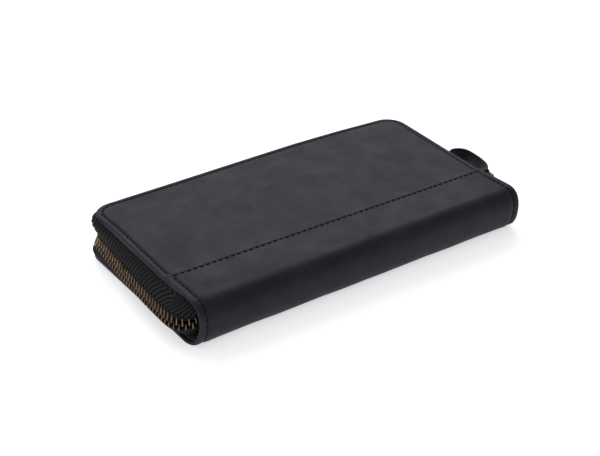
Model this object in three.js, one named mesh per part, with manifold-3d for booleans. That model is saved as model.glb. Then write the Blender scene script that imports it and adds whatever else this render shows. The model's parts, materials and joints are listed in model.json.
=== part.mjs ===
// A zip-around long wallet, shut and lying flat. Millimetres, +Z up.
// The origin is on the outer face of the bottom cover, at the centre of the wallet's outline.
// +X runs along the length, and -Y points at the spine.
import * as THREE from "three";
import { mergeVertices } from "three/addons/utils/BufferGeometryUtils.js";
import Module from "manifold-3d";

// Overall size
const LENGTH = 200;
const DEPTH = 110;
const BACK_THICKNESS = 26;
const CORNER_RADIUS = 11.5;

// The upper half turns about an axis inside the spine, and leans a little when shut.
const HINGE_Y = -50;
const HINGE_Z = 12;
const TILT = THREE.MathUtils.degToRad(1.7);
const COVER_SPACING = 22.87; // between the outer faces, measured square to the covers at the hinge

// Layers of a cover, as heights above its outer face
const SEAM_Y = -22;
const SEAM_GAP = 0.3;
const BORDER_WIDTH = 3.2;
const BORDER_STEP = 0.4;
const LEATHER = 1.7;
const RIM_HEIGHT = 3.6;
const RIM_WIDTH = 1.2;
const TONGUE = [1.3, 1.7];
const TONGUE_LENGTH = 8;
const TONGUE_HALF_WIDTH = 98.5;
const STIFFENER = [1.8, 2.8];
const LINING = [2.9, 3.5];
const SLIP_PANEL = [3.7, 4.4];
const POCKET_BASE = 4.5;
const POCKET_THICKNESS = 0.7;
const POCKET_PITCH = 0.8;
const POCKET_COUNT = 4;
const POCKET_STAGGER = 11;
const STACK_TOP = 7.6;
const STACK_HALF_LENGTH = 88;
const STACK_SPINE_Y = -44;
const STACK_MOUTH_Y = 42;
const LINING_SPINE_Y = -43;
const STIFFENER_SPINE_Y = -40;

// Spine panel, a C in section
const SPINE_THICKNESS = 1;
const SPINE_FLAT_Z = 0.2;
const SPINE_BELLY_Z = 14.2;
const SPINE_LOWER_Y = -47;
const SPINE_UPPER_Y = -46;
const SPINE_LINING_GAP = 0.5;
const SPINE_LINING_THICKNESS = 0.6;
const SPINE_LINING_HALF_LENGTH = 89;

// Perimeter zip: the chain's centre line, its height, and the tape sewn 2.1 inside the cover's edge
const CHAIN_Z = 12.5;
const CHAIN_BACK_Y = 52;
const CHAIN_RIGHT_X = 101.5;
const CHAIN_LEFT_X = -101; // at the back corner
const CHAIN_BULGE_X = -106.2; // where the left leg stands out furthest, near the spine
const CHAIN_BULGE_Y = -33;
const LEFT_TAIL = [-93, -49];
const RIGHT_TAIL = [93, -46];
const CHAIN_THICKNESS = 2.4;
const TAPE_INSET = 2.1;
const TAPE_THICKNESS = 0.6;
const TAPE_FLANGE = 7;
const TAPE_FLANGE_END = 3;
const TAPE_EDGE = 3.1; // from the chain's centre to the tape's edge
const TOOTH_PITCH = 2.9;
const TOOTH_REACH = 0.9; // past the chain's centre
const RAIL = [1.6, 2.8];
const LEG_START_Y = 40;
const LEG_END_Y = -36;

// Slider, ring and leather loop
const SLIDER_Y = -30.5;
const SLIDER_LENGTH = 10;
const RING_ANGLE = THREE.MathUtils.degToRad(28);
const RING_LENGTH = 9.2;
const RING_HALF_WIDTH = 4.4;
const RING_WIRE = 0.7;
const RING_PIVOT = [106, -28.5];
const LOOP_HEIGHT = 8.6;
const NECK_HEIGHT = 5.6;
const NECK_LENGTH = 7;
const NECK_TAPER_END = 16;
const LOOP_ANGLE = THREE.MathUtils.degToRad(3.6);

// Coin pocket and its zip
const LEAF_HALF_LENGTH = 88;
const LEAF_MOUTH_Y = 29.5;
const LEAF_HALF_THICKNESS = 1.8;
const LEAF_WALL = 0.8;
const COIN_CHAIN_Y = 35;
const COIN_CHAIN_THICKNESS = 1.8;
const COIN_CHAIN_HALF_LENGTH = 80;
const COIN_TOOTH_PITCH = 2;
const COIN_RAIL = [1.2, 2];
const COIN_TOOTH_REACH = 0.7;
const COIN_SLIDER_X = 76;

// Materials
const colours = {
  leather: [0x3b3a40, 0.5, 0],
  lining: [0x26262a, 0.85, 0],
  pocket: [0x2f2e33, 0.6, 0],
  board: [0x8f8577, 0.9, 0],
  tape: [0x1c1c1e, 0.9, 0],
  brass: [0x8a6a3c, 0.4, 1],
};

const wasm = await Module();
wasm.setup();

// A closed three.js geometry as a solid for joining and cutting
function solidOf(geometry) {
  const plain = geometry.clone();
  plain.deleteAttribute("normal");
  plain.deleteAttribute("uv");
  const merged = mergeVertices(plain, 1e-4);
  return new wasm.Manifold(
    new wasm.Mesh({
      numProp: 3,
      vertProperties: new Float32Array(merged.attributes.position.array),
      triVerts: new Uint32Array(merged.index.array),
    }),
  );
}

function geometryOf(solid) {
  const mesh = solid.getMesh();
  const geometry = new THREE.BufferGeometry();
  geometry.setAttribute("position", new THREE.BufferAttribute(mesh.vertProperties, 3));
  geometry.setIndex(new THREE.BufferAttribute(mesh.triVerts, 1));
  return geometry;
}

function join(...geometries) {
  return geometryOf(geometries.map(solidOf).reduce((a, b) => a.add(b)));
}

function cut(geometry, ...tools) {
  return geometryOf(tools.map(solidOf).reduce((a, b) => a.subtract(b), solidOf(geometry)));
}

function box(x, y, z) {
  const size = [x, y, z].map(([low, high]) => high - low);
  const centre = [x, y, z].map(([low, high]) => (low + high) / 2);
  return new THREE.BoxGeometry(...size).translate(...centre);
}

// Two numbers, the lower one first
function span(a, b) {
  return [Math.min(a, b), Math.max(a, b)];
}

// A flat outline raised from z low to z high
function plate(shape, [low, high]) {
  const options = { depth: high - low, bevelEnabled: false, curveSegments: 6 };
  return new THREE.ExtrudeGeometry(shape, options).translate(0, 0, low);
}

// An outline in Y and Z drawn along X, from x low to x high
function alongX(points, [low, high]) {
  const shape = new THREE.Shape(points.map(([y, z]) => new THREE.Vector2(y, z)));
  const geometry = new THREE.ExtrudeGeometry(shape, { depth: high - low, bevelEnabled: false });
  const axes = new THREE.Matrix4().set(0, 0, 1, low, 1, 0, 0, 0, 0, 1, 0, 0, 0, 0, 0, 1);
  return geometry.applyMatrix4(axes);
}

// A ribbon of even thickness about an open line of 2-D points
function ribbon(line, thickness) {
  const side = (sign) =>
    line.map(([u, v], i) => {
      const [u0, v0] = line[Math.max(i - 1, 0)];
      const [u1, v1] = line[Math.min(i + 1, line.length - 1)];
      const before = new THREE.Vector2(u - u0, v - v0).normalize();
      const after = new THREE.Vector2(u1 - u, v1 - v).normalize();
      const along = before.clone().add(after).normalize();
      const square = new THREE.Vector2(-along.y, along.x);
      const edge = i === 0 ? after : before;
      const stretch = 1 / Math.abs(edge.dot(along));
      const reach = (sign * thickness * stretch) / 2;
      return [u + square.x * reach, v + square.y * reach];
    });
  return [...side(-1), ...side(1).reverse()];
}

// A closed body through rings of 3-D points, each ring with the same number of points
function loft(rings) {
  const count = rings[0].length;
  const positions = rings.flat().flat();
  const index = [];
  for (let r = 0; r + 1 < rings.length; r++) {
    for (let i = 0; i < count; i++) {
      const a = r * count + i;
      const b = r * count + ((i + 1) % count);
      index.push(a, b, b + count, a, b + count, a + count);
    }
  }
  const cap = capTriangles(rings[0]);
  const last = (rings.length - 1) * count;
  for (const [a, b, c] of cap) {
    index.push(c, b, a);
    index.push(last + a, last + b, last + c);
  }
  const geometry = new THREE.BufferGeometry();
  geometry.setAttribute("position", new THREE.Float32BufferAttribute(positions, 3));
  geometry.setIndex(index);
  return facingOut(geometry);
}

// Triangles over one flat ring, seen along its own normal
function capTriangles(ring) {
  const points = ring.map((p) => new THREE.Vector3(...p));
  const normal = new THREE.Vector3();
  points.forEach((p, i) => normal.add(p.clone().cross(points[(i + 1) % points.length])));
  const up = new THREE.Vector3(0, 0, 1);
  const toFlat = new THREE.Quaternion().setFromUnitVectors(normal.normalize(), up);
  const flat = points.map((p) => {
    const turned = p.clone().applyQuaternion(toFlat);
    return new THREE.Vector2(turned.x, turned.y);
  });
  return THREE.ShapeUtils.triangulateShape(flat, []);
}

function facingOut(geometry) {
  const solid = solidOf(geometry);
  if (solid.volume() >= 0) return geometry;
  const index = geometry.index.array;
  for (let i = 0; i < index.length; i += 3) {
    [index[i + 1], index[i + 2]] = [index[i + 2], index[i + 1]];
  }
  return geometry;
}

// Outline of a cover, drawn in from its edge on the three zip sides
function coverShape(inset, spineY) {
  const x = LENGTH / 2 - inset;
  const y = DEPTH / 2 - inset;
  const radius = Math.max(CORNER_RADIUS - inset, 1.5);
  const shape = new THREE.Shape();
  shape.moveTo(-x, spineY);
  shape.lineTo(x, spineY);
  shape.absarc(x - radius, y - radius, radius, 0, Math.PI / 2);
  shape.absarc(radius - x, y - radius, radius, Math.PI / 2, Math.PI);
  shape.closePath();
  return shape;
}

// Outer leather: a thin border, a puffed middle, a turned rim on the zip sides and a tongue under the seam
function coverLeather() {
  const slab = plate(coverShape(0, SEAM_Y), [BORDER_STEP, LEATHER]);
  const slope = 0.8;
  const bevel = { bevelThickness: BORDER_STEP, bevelSize: slope, bevelSegments: 2 };
  const middle = coverShape(BORDER_WIDTH + slope, SEAM_Y + slope + 0.2);
  const pad = new THREE.ExtrudeGeometry(middle, { depth: 0.3, curveSegments: 6, ...bevel });
  pad.translate(0, 0, BORDER_STEP);
  const rim = cut(
    plate(coverShape(0, SEAM_Y), [LEATHER - 0.3, RIM_HEIGHT]),
    plate(coverShape(RIM_WIDTH, SEAM_Y - 1), [LEATHER - 1, RIM_HEIGHT + 1]),
  );
  const tongueSides = [-TONGUE_HALF_WIDTH, TONGUE_HALF_WIDTH];
  const tongue = box(tongueSides, [SEAM_Y - TONGUE_LENGTH, SEAM_Y + 1], TONGUE);
  return join(slab, pad, rim, tongue);
}

function stiffener() {
  return plate(coverShape(TAPE_INSET + TAPE_FLANGE + 0.9, STIFFENER_SPINE_Y), STIFFENER);
}

// Lining panel, notched at the spine corners where the zip's tails curl in
function lining() {
  const notches = [-1, 1].map((side) => {
    const x = span(side * SPINE_LINING_HALF_LENGTH, side * LENGTH);
    return box(x, [HINGE_Y, LEG_END_Y + 2], [LINING[0] - 1, LINING[1] + 1]);
  });
  return cut(plate(coverShape(TAPE_INSET + 0.9, LINING_SPINE_Y), LINING), ...notches);
}

function stackSheet(mouthY, heights) {
  return box([-STACK_HALF_LENGTH, STACK_HALF_LENGTH], [STACK_SPINE_Y, mouthY], heights);
}

function cardPocket(row) {
  const low = POCKET_BASE + row * POCKET_PITCH;
  return stackSheet(STACK_MOUTH_Y - 2 - row * POCKET_STAGGER, [low, low + POCKET_THICKNESS]);
}

// Height of the shut top cover's outer face
function topFace(y) {
  return BACK_THICKNESS - (DEPTH / 2 - y) * Math.tan(TILT);
}

// Height of the coin pocket's middle plane when shut
function leafMiddle(y) {
  return topFace(y) / 2;
}

// Section of the spine, from the bottom seam round to the top one, drawn in from the outer surface
function spineLine(inset, bottomY, topY) {
  const quarterSteps = 9;
  const line = [[bottomY, SPINE_FLAT_Z + inset]];
  const lower = [DEPTH / 2 + SPINE_LOWER_Y - inset, SPINE_BELLY_Z - SPINE_FLAT_Z - inset];
  const upper = [DEPTH / 2 + SPINE_UPPER_Y - inset, topFace(SPINE_UPPER_Y) - SPINE_BELLY_Z - inset];
  for (let i = 0; i <= quarterSteps; i++) {
    const angle = (Math.PI / 2) * (i / quarterSteps);
    line.push([SPINE_LOWER_Y - lower[0] * Math.sin(angle), SPINE_BELLY_Z - lower[1] * Math.cos(angle)]);
  }
  for (let i = 1; i <= quarterSteps; i++) {
    const angle = (Math.PI / 2) * (i / quarterSteps);
    line.push([SPINE_UPPER_Y - upper[0] * Math.cos(angle), SPINE_BELLY_Z + upper[1] * Math.sin(angle)]);
  }
  line.push([topY, topFace(topY) - inset]);
  return line;
}

function spineSheet(inset, thickness, bottomY, topY, halfLength) {
  const outer = spineLine(inset, bottomY, topY);
  const inner = spineLine(inset + thickness, bottomY, topY);
  return alongX([...outer, ...inner.reverse()], [-halfLength, halfLength]);
}

// The zip's legs, from the left end round the long side to the right end.
// Each has the chain's curve, the curve where the tape leaves the cover, and its number of steps.
function zipLegs() {
  const at = (x, y) => new THREE.Vector2(x, y);
  const bend = (...points) => new THREE.QuadraticBezierCurve(...points.map(([x, y]) => at(x, y)));
  const line = (from, to) => new THREE.LineCurve(at(...from), at(...to));
  const arc = (x, from, to) => new THREE.EllipseCurve(x, cornerY, radius, radius, from, to, true);
  const baseX = LENGTH / 2 - TAPE_INSET;
  const radius = CORNER_RADIUS - TAPE_INSET;
  const cornerX = LENGTH / 2 - CORNER_RADIUS;
  const cornerY = DEPTH / 2 - CORNER_RADIUS;
  const tailInsideY = -45;
  const corners = [
    [CHAIN_LEFT_X, 42],
    [-87, CHAIN_BACK_Y],
    [88, CHAIN_BACK_Y],
    [CHAIN_RIGHT_X, LEG_START_Y],
  ];
  const farthest = [CHAIN_BULGE_X, CHAIN_BULGE_Y];
  const bulgePoints = [farthest, [CHAIN_BULGE_X, -20], [-104.6, 5], corners[0]];
  const bulge = new THREE.CubicBezierCurve(...bulgePoints.map(([x, y]) => at(x, y)));
  const left = bend(LEFT_TAIL, [CHAIN_BULGE_X, LEFT_TAIL[1]], farthest);
  const leftCorner = bend(corners[0], [CHAIN_LEFT_X + 0.4, CHAIN_BACK_Y], corners[1]);
  const back = line(corners[1], corners[2]);
  const rightCorner = bend(corners[2], [CHAIN_RIGHT_X, CHAIN_BACK_Y], corners[3]);
  const leg = line(corners[3], [CHAIN_RIGHT_X, LEG_END_Y]);
  const right = bend([CHAIN_RIGHT_X, LEG_END_Y], [CHAIN_RIGHT_X, tailInsideY], RIGHT_TAIL);
  return [
    [left, bend([-92.5, tailInsideY], [-baseX, tailInsideY], [-baseX, LEG_END_Y]), 6],
    [bulge, line([-baseX, LEG_END_Y], [-baseX, cornerY]), 6],
    [leftCorner, arc(-cornerX, Math.PI, Math.PI / 2), 6],
    [back, line([-cornerX, cornerY + radius], [cornerX, cornerY + radius]), 1],
    [rightCorner, arc(cornerX, Math.PI / 2, 0), 6],
    [leg, line([baseX, cornerY], [baseX, LEG_END_Y]), 1],
    [right, bend([baseX, LEG_END_Y], [baseX, tailInsideY], [92.5, tailInsideY]), 6],
  ];
}

// Tape: a flange inside the cover, a wall up past the rim, and a slope out to the chain.
// The upper tape hangs from the top cover, the lower one stands on the bottom cover.
function tape(isUpper) {
  const half = TAPE_THICKNESS / 2;
  const flangeHeight = STIFFENER[0] + half;
  const rings = [];
  zipLegs().forEach(([chain, base, steps], leg, legs) => {
    for (let i = leg === 0 ? 0 : 1; i <= steps; i++) {
      const c = chain.getPoint(i / steps);
      const b = base.getPoint(i / steps);
      const along = base.getTangent(i / steps);
      const out = new THREE.Vector2(-along.y, along.x);
      const isTail = (leg === 0 && i < steps) || (leg === legs.length - 1 && i > 0);
      const flange = isTail ? TAPE_FLANGE_END : TAPE_FLANGE;
      const level = (x, y, height) => (isUpper ? topFace(y) - height : height);
      const edge = (height) => (isUpper ? CHAIN_Z + height : CHAIN_Z - height);
      const onBase = (offset, height) => {
        const p = b.clone().addScaledVector(out, offset);
        return [p.x, p.y, level(p.x, p.y, height)];
      };
      const onChain = (offset, height) => {
        const p = c.clone().addScaledVector(out, offset);
        return [p.x, p.y, edge(height)];
      };
      rings.push([
        onBase(-flange, flangeHeight - half),
        onBase(half, flangeHeight - half),
        onBase(half, RIM_HEIGHT + 0.6),
        onChain(half, TAPE_EDGE + 1.9),
        onChain(half, TAPE_EDGE),
        onChain(-half, TAPE_EDGE),
        onChain(-half, TAPE_EDGE + 1.9),
        onBase(-half, RIM_HEIGHT + 0.6),
        onBase(-half, flangeHeight + half),
        onBase(-flange, flangeHeight + half),
      ]);
    }
  });
  return loft(rings);
}

// A point and its outward direction at a distance along the chain
function chainFrames() {
  const path = new THREE.CurvePath();
  zipLegs().forEach(([chain]) => path.add(chain));
  const length = path.getLength();
  return {
    length,
    at(distance) {
      const t = distance / length;
      const ahead = path.getPoint(Math.min(t + 1e-4, 1));
      const behind = path.getPoint(Math.max(t - 1e-4, 0));
      const along = ahead.sub(behind).normalize();
      return { point: path.getPoint(t), out: new THREE.Vector2(-along.y, along.x) };
    },
  };
}

// One row of wedge teeth on its rail; the rows mesh half a pitch apart
function chainRow(isUpper) {
  const chain = chainFrames();
  const tailLength = zipLegs().at(-1)[0].getLength();
  const start = 4 + (isUpper ? TOOTH_PITCH / 2 : 0);
  const count = Math.floor((chain.length - tailLength - 3 - start) / TOOTH_PITCH);
  const half = CHAIN_THICKNESS / 2;
  const sign = isUpper ? 1 : -1;
  const rings = [];
  for (let i = 0; i <= 2 * count; i++) {
    const { point, out } = chain.at(start + (i * TOOTH_PITCH) / 2);
    const inner = i % 2 === 1 ? -TOOTH_REACH : RAIL[0];
    const corner = (offset, height) => {
      const p = point.clone().addScaledVector(out, offset);
      return [p.x, p.y, CHAIN_Z + sign * height];
    };
    rings.push([corner(-half, RAIL[1]), corner(half, RAIL[1]), corner(half, inner), corner(-half, inner)]);
  }
  return loft(rings);
}

// Bottom stop at the left tail: one block beyond the first teeth, across both rows
function bottomStop() {
  const { point, out } = chainFrames().at(2);
  const block = new THREE.BoxGeometry(CHAIN_THICKNESS, 2.4, 5.8);
  const angle = Math.atan2(out.y, out.x);
  return block.rotateZ(angle).translate(point.x, point.y, CHAIN_Z);
}

function topStop(isUpper) {
  const sign = isUpper ? 1 : -1;
  const heights = span(CHAIN_Z + sign * 0.4, CHAIN_Z + sign * RAIL[1]);
  const x = [CHAIN_RIGHT_X - 1.2, CHAIN_RIGHT_X + 1.2];
  return box(x, [LEG_END_Y - 1.8, LEG_END_Y + 0.2], heights);
}

// Slider: outer and inner plates joined by a post, with lips that leave a slot for each tape
function sliderBody() {
  const half = 4.3;
  const y = [SLIDER_Y - SLIDER_LENGTH / 2, SLIDER_Y + SLIDER_LENGTH / 2];
  const z = [CHAIN_Z - half, CHAIN_Z + half];
  const outer = box([CHAIN_RIGHT_X + 1.5, CHAIN_RIGHT_X + 2.9], y, z);
  const inner = box([CHAIN_RIGHT_X - 2.9, CHAIN_RIGHT_X - 1.5], y, z);
  const postSides = [CHAIN_RIGHT_X - 2, CHAIN_RIGHT_X + 2];
  const post = box(postSides, [y[0] + 0.2, y[0] + 1.4], [CHAIN_Z - 0.3, CHAIN_Z + 0.3]);
  const lips = [-1, 1].flatMap((side) =>
    [-1, 1].map((face) => {
      const heights = span(CHAIN_Z + side * (half - 1), CHAIN_Z + side * half);
      const across = span(CHAIN_RIGHT_X + face * 0.7, CHAIN_RIGHT_X + face * 1.8);
      return box(across, y, heights);
    }),
  );
  return join(outer, inner, post, ...lips);
}

// A strip bent to a line in X and Y, standing from z low to z high
function standingStrip(line, thickness, heights) {
  const outline = ribbon(line, thickness).map(([x, y]) => new THREE.Vector2(x, y));
  return plate(new THREE.Shape(outline), heights);
}

// Crown: a bridge on the slider's outer plate that the ring hangs on
function sliderCrown() {
  const face = CHAIN_RIGHT_X + 3.2;
  const line = [
    [face, SLIDER_Y - 4.2],
    [face + 3.3, SLIDER_Y - 3.6],
    [face + 4, SLIDER_Y - 2.6],
    [face + 4, SLIDER_Y + 2.6],
    [face + 3.3, SLIDER_Y + 3.6],
    [face, SLIDER_Y + 4.2],
  ];
  return standingStrip(line, 1, [CHAIN_Z - 1.3, CHAIN_Z + 1.3]);
}

// Wire ring, a long rectangle with rounded corners, flat along its own +Y from the pivot bar
function pullRing() {
  const path = new THREE.CurvePath();
  const corner = 1.6;
  const y = [0, RING_LENGTH];
  const z = RING_HALF_WIDTH;
  const at = (...p) => new THREE.Vector3(...p);
  const points = [
    [at(0, y[0], corner - z), at(0, y[0], z - corner), at(0, y[0], z), at(0, y[0] + corner, z)],
    [at(0, y[0] + corner, z), at(0, y[1] - corner, z), at(0, y[1], z), at(0, y[1], z - corner)],
    [at(0, y[1], z - corner), at(0, y[1], corner - z), at(0, y[1], -z), at(0, y[1] - corner, -z)],
    [at(0, y[1] - corner, -z), at(0, y[0] + corner, -z), at(0, y[0], -z), at(0, y[0], corner - z)],
  ];
  for (const [from, to, control, end] of points) {
    path.add(new THREE.LineCurve3(from, to));
    path.add(new THREE.QuadraticBezierCurve3(to, control, end));
  }
  const rings = [];
  const steps = path.curves.flatMap((curve) =>
    curve.isLineCurve3 ? [curve.getPoint(0)] : [0, 1 / 3, 2 / 3].map((t) => curve.getPoint(t)),
  );
  steps.forEach((p, i) => {
    const next = steps[(i + 1) % steps.length];
    const last = steps[(i + steps.length - 1) % steps.length];
    const along = next.clone().sub(last).normalize();
    const side = new THREE.Vector3(1, 0, 0);
    const up = side.clone().cross(along);
    const ring = [];
    for (let k = 0; k < 8; k++) {
      const angle = (k * Math.PI) / 4;
      const around = side.clone().multiplyScalar(Math.cos(angle)).addScaledVector(up, Math.sin(angle));
      ring.push(p.clone().addScaledVector(around, RING_WIRE).toArray());
    }
    rings.push(ring);
  });
  return closedLoft(rings);
}

// As loft, but the last ring joins the first
function closedLoft(rings) {
  const count = rings[0].length;
  const index = [];
  rings.forEach((_, r) => {
    const next = ((r + 1) % rings.length) * count;
    for (let i = 0; i < count; i++) {
      const j = (i + 1) % count;
      index.push(r * count + i, r * count + j, next + j, r * count + i, next + j, next + i);
    }
  });
  const geometry = new THREE.BufferGeometry();
  geometry.setAttribute("position", new THREE.Float32BufferAttribute(rings.flat().flat(), 3));
  geometry.setIndex(index);
  return facingOut(geometry);
}

// Leather loop, seen from above: an eye round the ring's far bar, a neck, and a teardrop
function pullLoop() {
  const outline = new THREE.Shape();
  outline.moveTo(1.7, 1.6);
  outline.bezierCurveTo(2, 10, 7, 16, 6.6, 27);
  outline.bezierCurveTo(6.3, 37, -6.3, 37, -6.6, 27);
  outline.bezierCurveTo(-7, 16, -2, 10, -1.7, 1.6);
  outline.absarc(0, 0, 2.4, Math.PI * 0.75, Math.PI * 2.25, false);
  outline.closePath();
  const teardrop = new THREE.Path();
  teardrop.moveTo(0, 8.5);
  teardrop.bezierCurveTo(1.4, 14, 5.2, 18, 5, 27);
  teardrop.bezierCurveTo(4.8, 34.6, -4.8, 34.6, -5, 27);
  teardrop.bezierCurveTo(-5.2, 18, -1.4, 14, 0, 8.5);
  const eye = new THREE.Path();
  eye.absarc(0, 0, RING_WIRE + 0.3, 0, Math.PI * 2, true);
  outline.holes.push(teardrop, eye);
  const strap = plate(outline, [-LOOP_HEIGHT / 2, LOOP_HEIGHT / 2]);
  return cut(strap, neckTaper(-1), neckTaper(1));
}

// What is trimmed off the strap's upper or lower edge, so that it narrows towards the ring
function neckTaper(side) {
  const neck = (side * NECK_HEIGHT) / 2;
  const full = (side * LOOP_HEIGHT) / 2;
  const edge = [
    [-4, neck],
    [NECK_LENGTH, neck],
    [NECK_TAPER_END, full],
  ];
  const outside = [
    [NECK_TAPER_END, full + side],
    [-4, full + side],
  ];
  const points = [...edge, ...outside];
  return alongX(side > 0 ? points : points.reverse(), [-8, 8]);
}

// Band round the loop's neck
function pullKeeper() {
  const y = [3.4, 6.6];
  const half = NECK_HEIGHT / 2 + 0.3;
  const sleeve = box([-3.7, 3.7], y, [-half - 0.7, half + 0.7]);
  const space = box([-2.9, 2.9], [y[0] - 1, y[1] + 1], [-half, half]);
  return cut(sleeve, space);
}

// Pleated end wall, a W in section: from the lower stack round the coin pocket's edge to the upper stack
function gusset(side) {
  const edge = LEAF_HALF_LENGTH + 2.5;
  const fold = LEAF_HALF_LENGTH - 14;
  const rings = [STACK_SPINE_Y + 2, LEAF_MOUTH_Y - 1.5].map((y) => {
    const floor = STACK_TOP + 0.3;
    const ceiling = topFace(y) - STACK_TOP - 0.3;
    const leafLow = leafMiddle(y) - LEAF_HALF_THICKNESS - 0.6;
    const leafHigh = leafMiddle(y) + LEAF_HALF_THICKNESS + 0.6;
    const line = [
      [edge, floor + 0.2],
      [fold, (floor + 0.2 + leafLow) / 2 - 0.35],
      [fold, (floor + 0.2 + leafLow) / 2 + 0.35],
      [edge, leafLow],
      [edge, leafHigh],
      [fold, (ceiling - 0.2 + leafHigh) / 2 - 0.35],
      [fold, (ceiling - 0.2 + leafHigh) / 2 + 0.35],
      [edge, ceiling - 0.2],
    ];
    return ribbon(line, 0.3).map(([x, z]) => [side * x, y, z]);
  });
  return loft(rings);
}

// One wall of the coin pocket with its turned edges, lying at z = 0 with its outer face down
function coinPanel() {
  const x = [-LEAF_HALF_LENGTH, LEAF_HALF_LENGTH];
  const y = [STACK_SPINE_Y + 1, LEAF_MOUTH_Y];
  const slab = box(x, y, [0, LEAF_WALL]);
  const edgeHeight = [LEAF_WALL - 0.3, LEAF_HALF_THICKNESS - 0.1];
  const spineEdge = box(x, [y[0], y[0] + 1.5], edgeHeight);
  const ends = [-1, 1].map((side) => {
    const across = span(side * (LEAF_HALF_LENGTH - 1.5), side * LEAF_HALF_LENGTH);
    return box(across, y, edgeHeight);
  });
  return join(slab, spineEdge, ...ends);
}

// Half of the coin zip's tape: out of the pocket, over and down to the teeth
function coinTape() {
  const line = [
    [COIN_CHAIN_Y - 12.5, 0.5],
    [COIN_CHAIN_Y - 4.5, 0.5],
    [COIN_CHAIN_Y - 2, 3.2],
    [COIN_CHAIN_Y, 3.2],
    [COIN_CHAIN_Y, COIN_RAIL[1] + 0.3],
  ];
  return alongX(ribbon(line, 0.4), [-85.5, 85.5]);
}

// Half of the coin zip's chain, a comb with wedge teeth
function coinTeeth(offset) {
  const shape = new THREE.Shape();
  const end = COIN_CHAIN_HALF_LENGTH;
  shape.moveTo(-end, COIN_RAIL[1]);
  shape.lineTo(-end, COIN_RAIL[0]);
  for (let x = -end + 1 + offset; x < end - 1; x += COIN_TOOTH_PITCH) {
    shape.lineTo(x - 0.9, COIN_RAIL[0]);
    shape.lineTo(x, -COIN_TOOTH_REACH);
    shape.lineTo(x + 0.9, COIN_RAIL[0]);
  }
  shape.lineTo(end, COIN_RAIL[0]);
  shape.lineTo(end, COIN_RAIL[1]);
  shape.closePath();
  const half = COIN_CHAIN_THICKNESS / 2;
  return plate(shape, [-half, half]).rotateX(Math.PI / 2).translate(0, COIN_CHAIN_Y, 0);
}

function coinStop(side) {
  const x = span(side * (COIN_CHAIN_HALF_LENGTH + 2.4), side * (COIN_CHAIN_HALF_LENGTH + 4));
  return box(x, [COIN_CHAIN_Y - 0.9, COIN_CHAIN_Y + 0.9], [-COIN_RAIL[1], COIN_RAIL[1]]);
}

function coinSliderBody() {
  const x = [COIN_SLIDER_X - 4, COIN_SLIDER_X + 5.6];
  const outer = box(x, [COIN_CHAIN_Y + 1.2, COIN_CHAIN_Y + 2], [-2.9, 2.9]);
  const inner = box(x, [COIN_CHAIN_Y - 2, COIN_CHAIN_Y - 1.2], [-2.6, 2.6]);
  const post = box([x[1] - 1.2, x[1] - 0.2], [COIN_CHAIN_Y - 1.6, COIN_CHAIN_Y + 1.6], [-1, 1]);
  const lips = [-1, 1].map((side) => {
    return box(x, [COIN_CHAIN_Y + 0.5, COIN_CHAIN_Y + 1.6], span(side * 2.3, side * 2.9));
  });
  const crown = [-1, 1].map((end) => {
    const middle = COIN_SLIDER_X + 0.8 + end * 2.6;
    return box([middle - 0.5, middle + 0.5], [COIN_CHAIN_Y + 1.8, COIN_CHAIN_Y + 4.2], [-0.7, 0.7]);
  });
  const bridgeEnds = [COIN_SLIDER_X - 2.3, COIN_SLIDER_X + 3.9];
  const bridge = box(bridgeEnds, [COIN_CHAIN_Y + 3.5, COIN_CHAIN_Y + 4.2], [-0.7, 0.7]);
  return join(outer, inner, post, ...lips, ...crown, bridge);
}

// Coin pull: a flat tab with a window that holds the crown; it lies along -X
function coinPull() {
  const tab = new THREE.Shape();
  tab.moveTo(1, -2);
  tab.lineTo(1, 2);
  tab.absarc(-9.6, 0, 2.4, Math.PI / 2, Math.PI * 1.5, false);
  tab.closePath();
  const window = new THREE.Path();
  window.moveTo(0.2, -1.2);
  window.lineTo(0.2, 1.2);
  window.lineTo(-4.5, 1.2);
  window.lineTo(-4.5, -1.2);
  window.closePath();
  tab.holes.push(window);
  return plate(tab, [-0.4, 0.4]).rotateX(Math.PI / 2);
}

const wallet = new THREE.Group();

function add(parent, name, geometry, look) {
  const [color, roughness, metalness] = colours[look];
  const mesh = new THREE.Mesh(geometry, new THREE.MeshStandardMaterial({ color, roughness, metalness }));
  mesh.name = name;
  parent.add(mesh);
  return mesh;
}

// One cover with everything sewn to its inside, its outer face down at z = 0
function addCover(parent, prefix) {
  add(parent, prefix + "_cover_leather", coverLeather(), "leather");
  add(parent, prefix + "_stiffener", stiffener(), "board");
  add(parent, prefix + "_lining", lining(), "lining");
  add(parent, prefix + "_slip_panel", stackSheet(STACK_MOUTH_Y, SLIP_PANEL), "lining");
  for (let row = 0; row < POCKET_COUNT; row++) {
    add(parent, prefix + "_card_pocket_" + (row + 1), cardPocket(row), "pocket");
  }
}

addCover(wallet, "bottom");

// The top cover is the same build turned over and leaned about the hinge
const upperHalf = new THREE.Group();
upperHalf.position.set(0, HINGE_Y, HINGE_Z);
upperHalf.rotation.x = TILT;
const turnedOver = new THREE.Group();
turnedOver.position.set(0, -HINGE_Y, COVER_SPACING - HINGE_Z);
turnedOver.scale.z = -1;
upperHalf.add(turnedOver);
wallet.add(upperHalf);
addCover(turnedOver, "top");

const lowerSeam = SEAM_Y - SEAM_GAP;
const upperSeam = lowerSeam - (COVER_SPACING - HINGE_Z) * Math.sin(TILT); // the lean draws it back
add(wallet, "spine_leather", spineSheet(0, SPINE_THICKNESS, lowerSeam, upperSeam, LENGTH / 2), "leather");
const liningInset = SPINE_THICKNESS + SPINE_LINING_GAP;
const spineLining = spineSheet(liningInset, SPINE_LINING_THICKNESS, -41.5, -41, SPINE_LINING_HALF_LENGTH);
add(wallet, "spine_lining", spineLining, "lining");
add(wallet, "gusset_left", gusset(-1), "lining");
add(wallet, "gusset_right", gusset(1), "lining");

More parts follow.
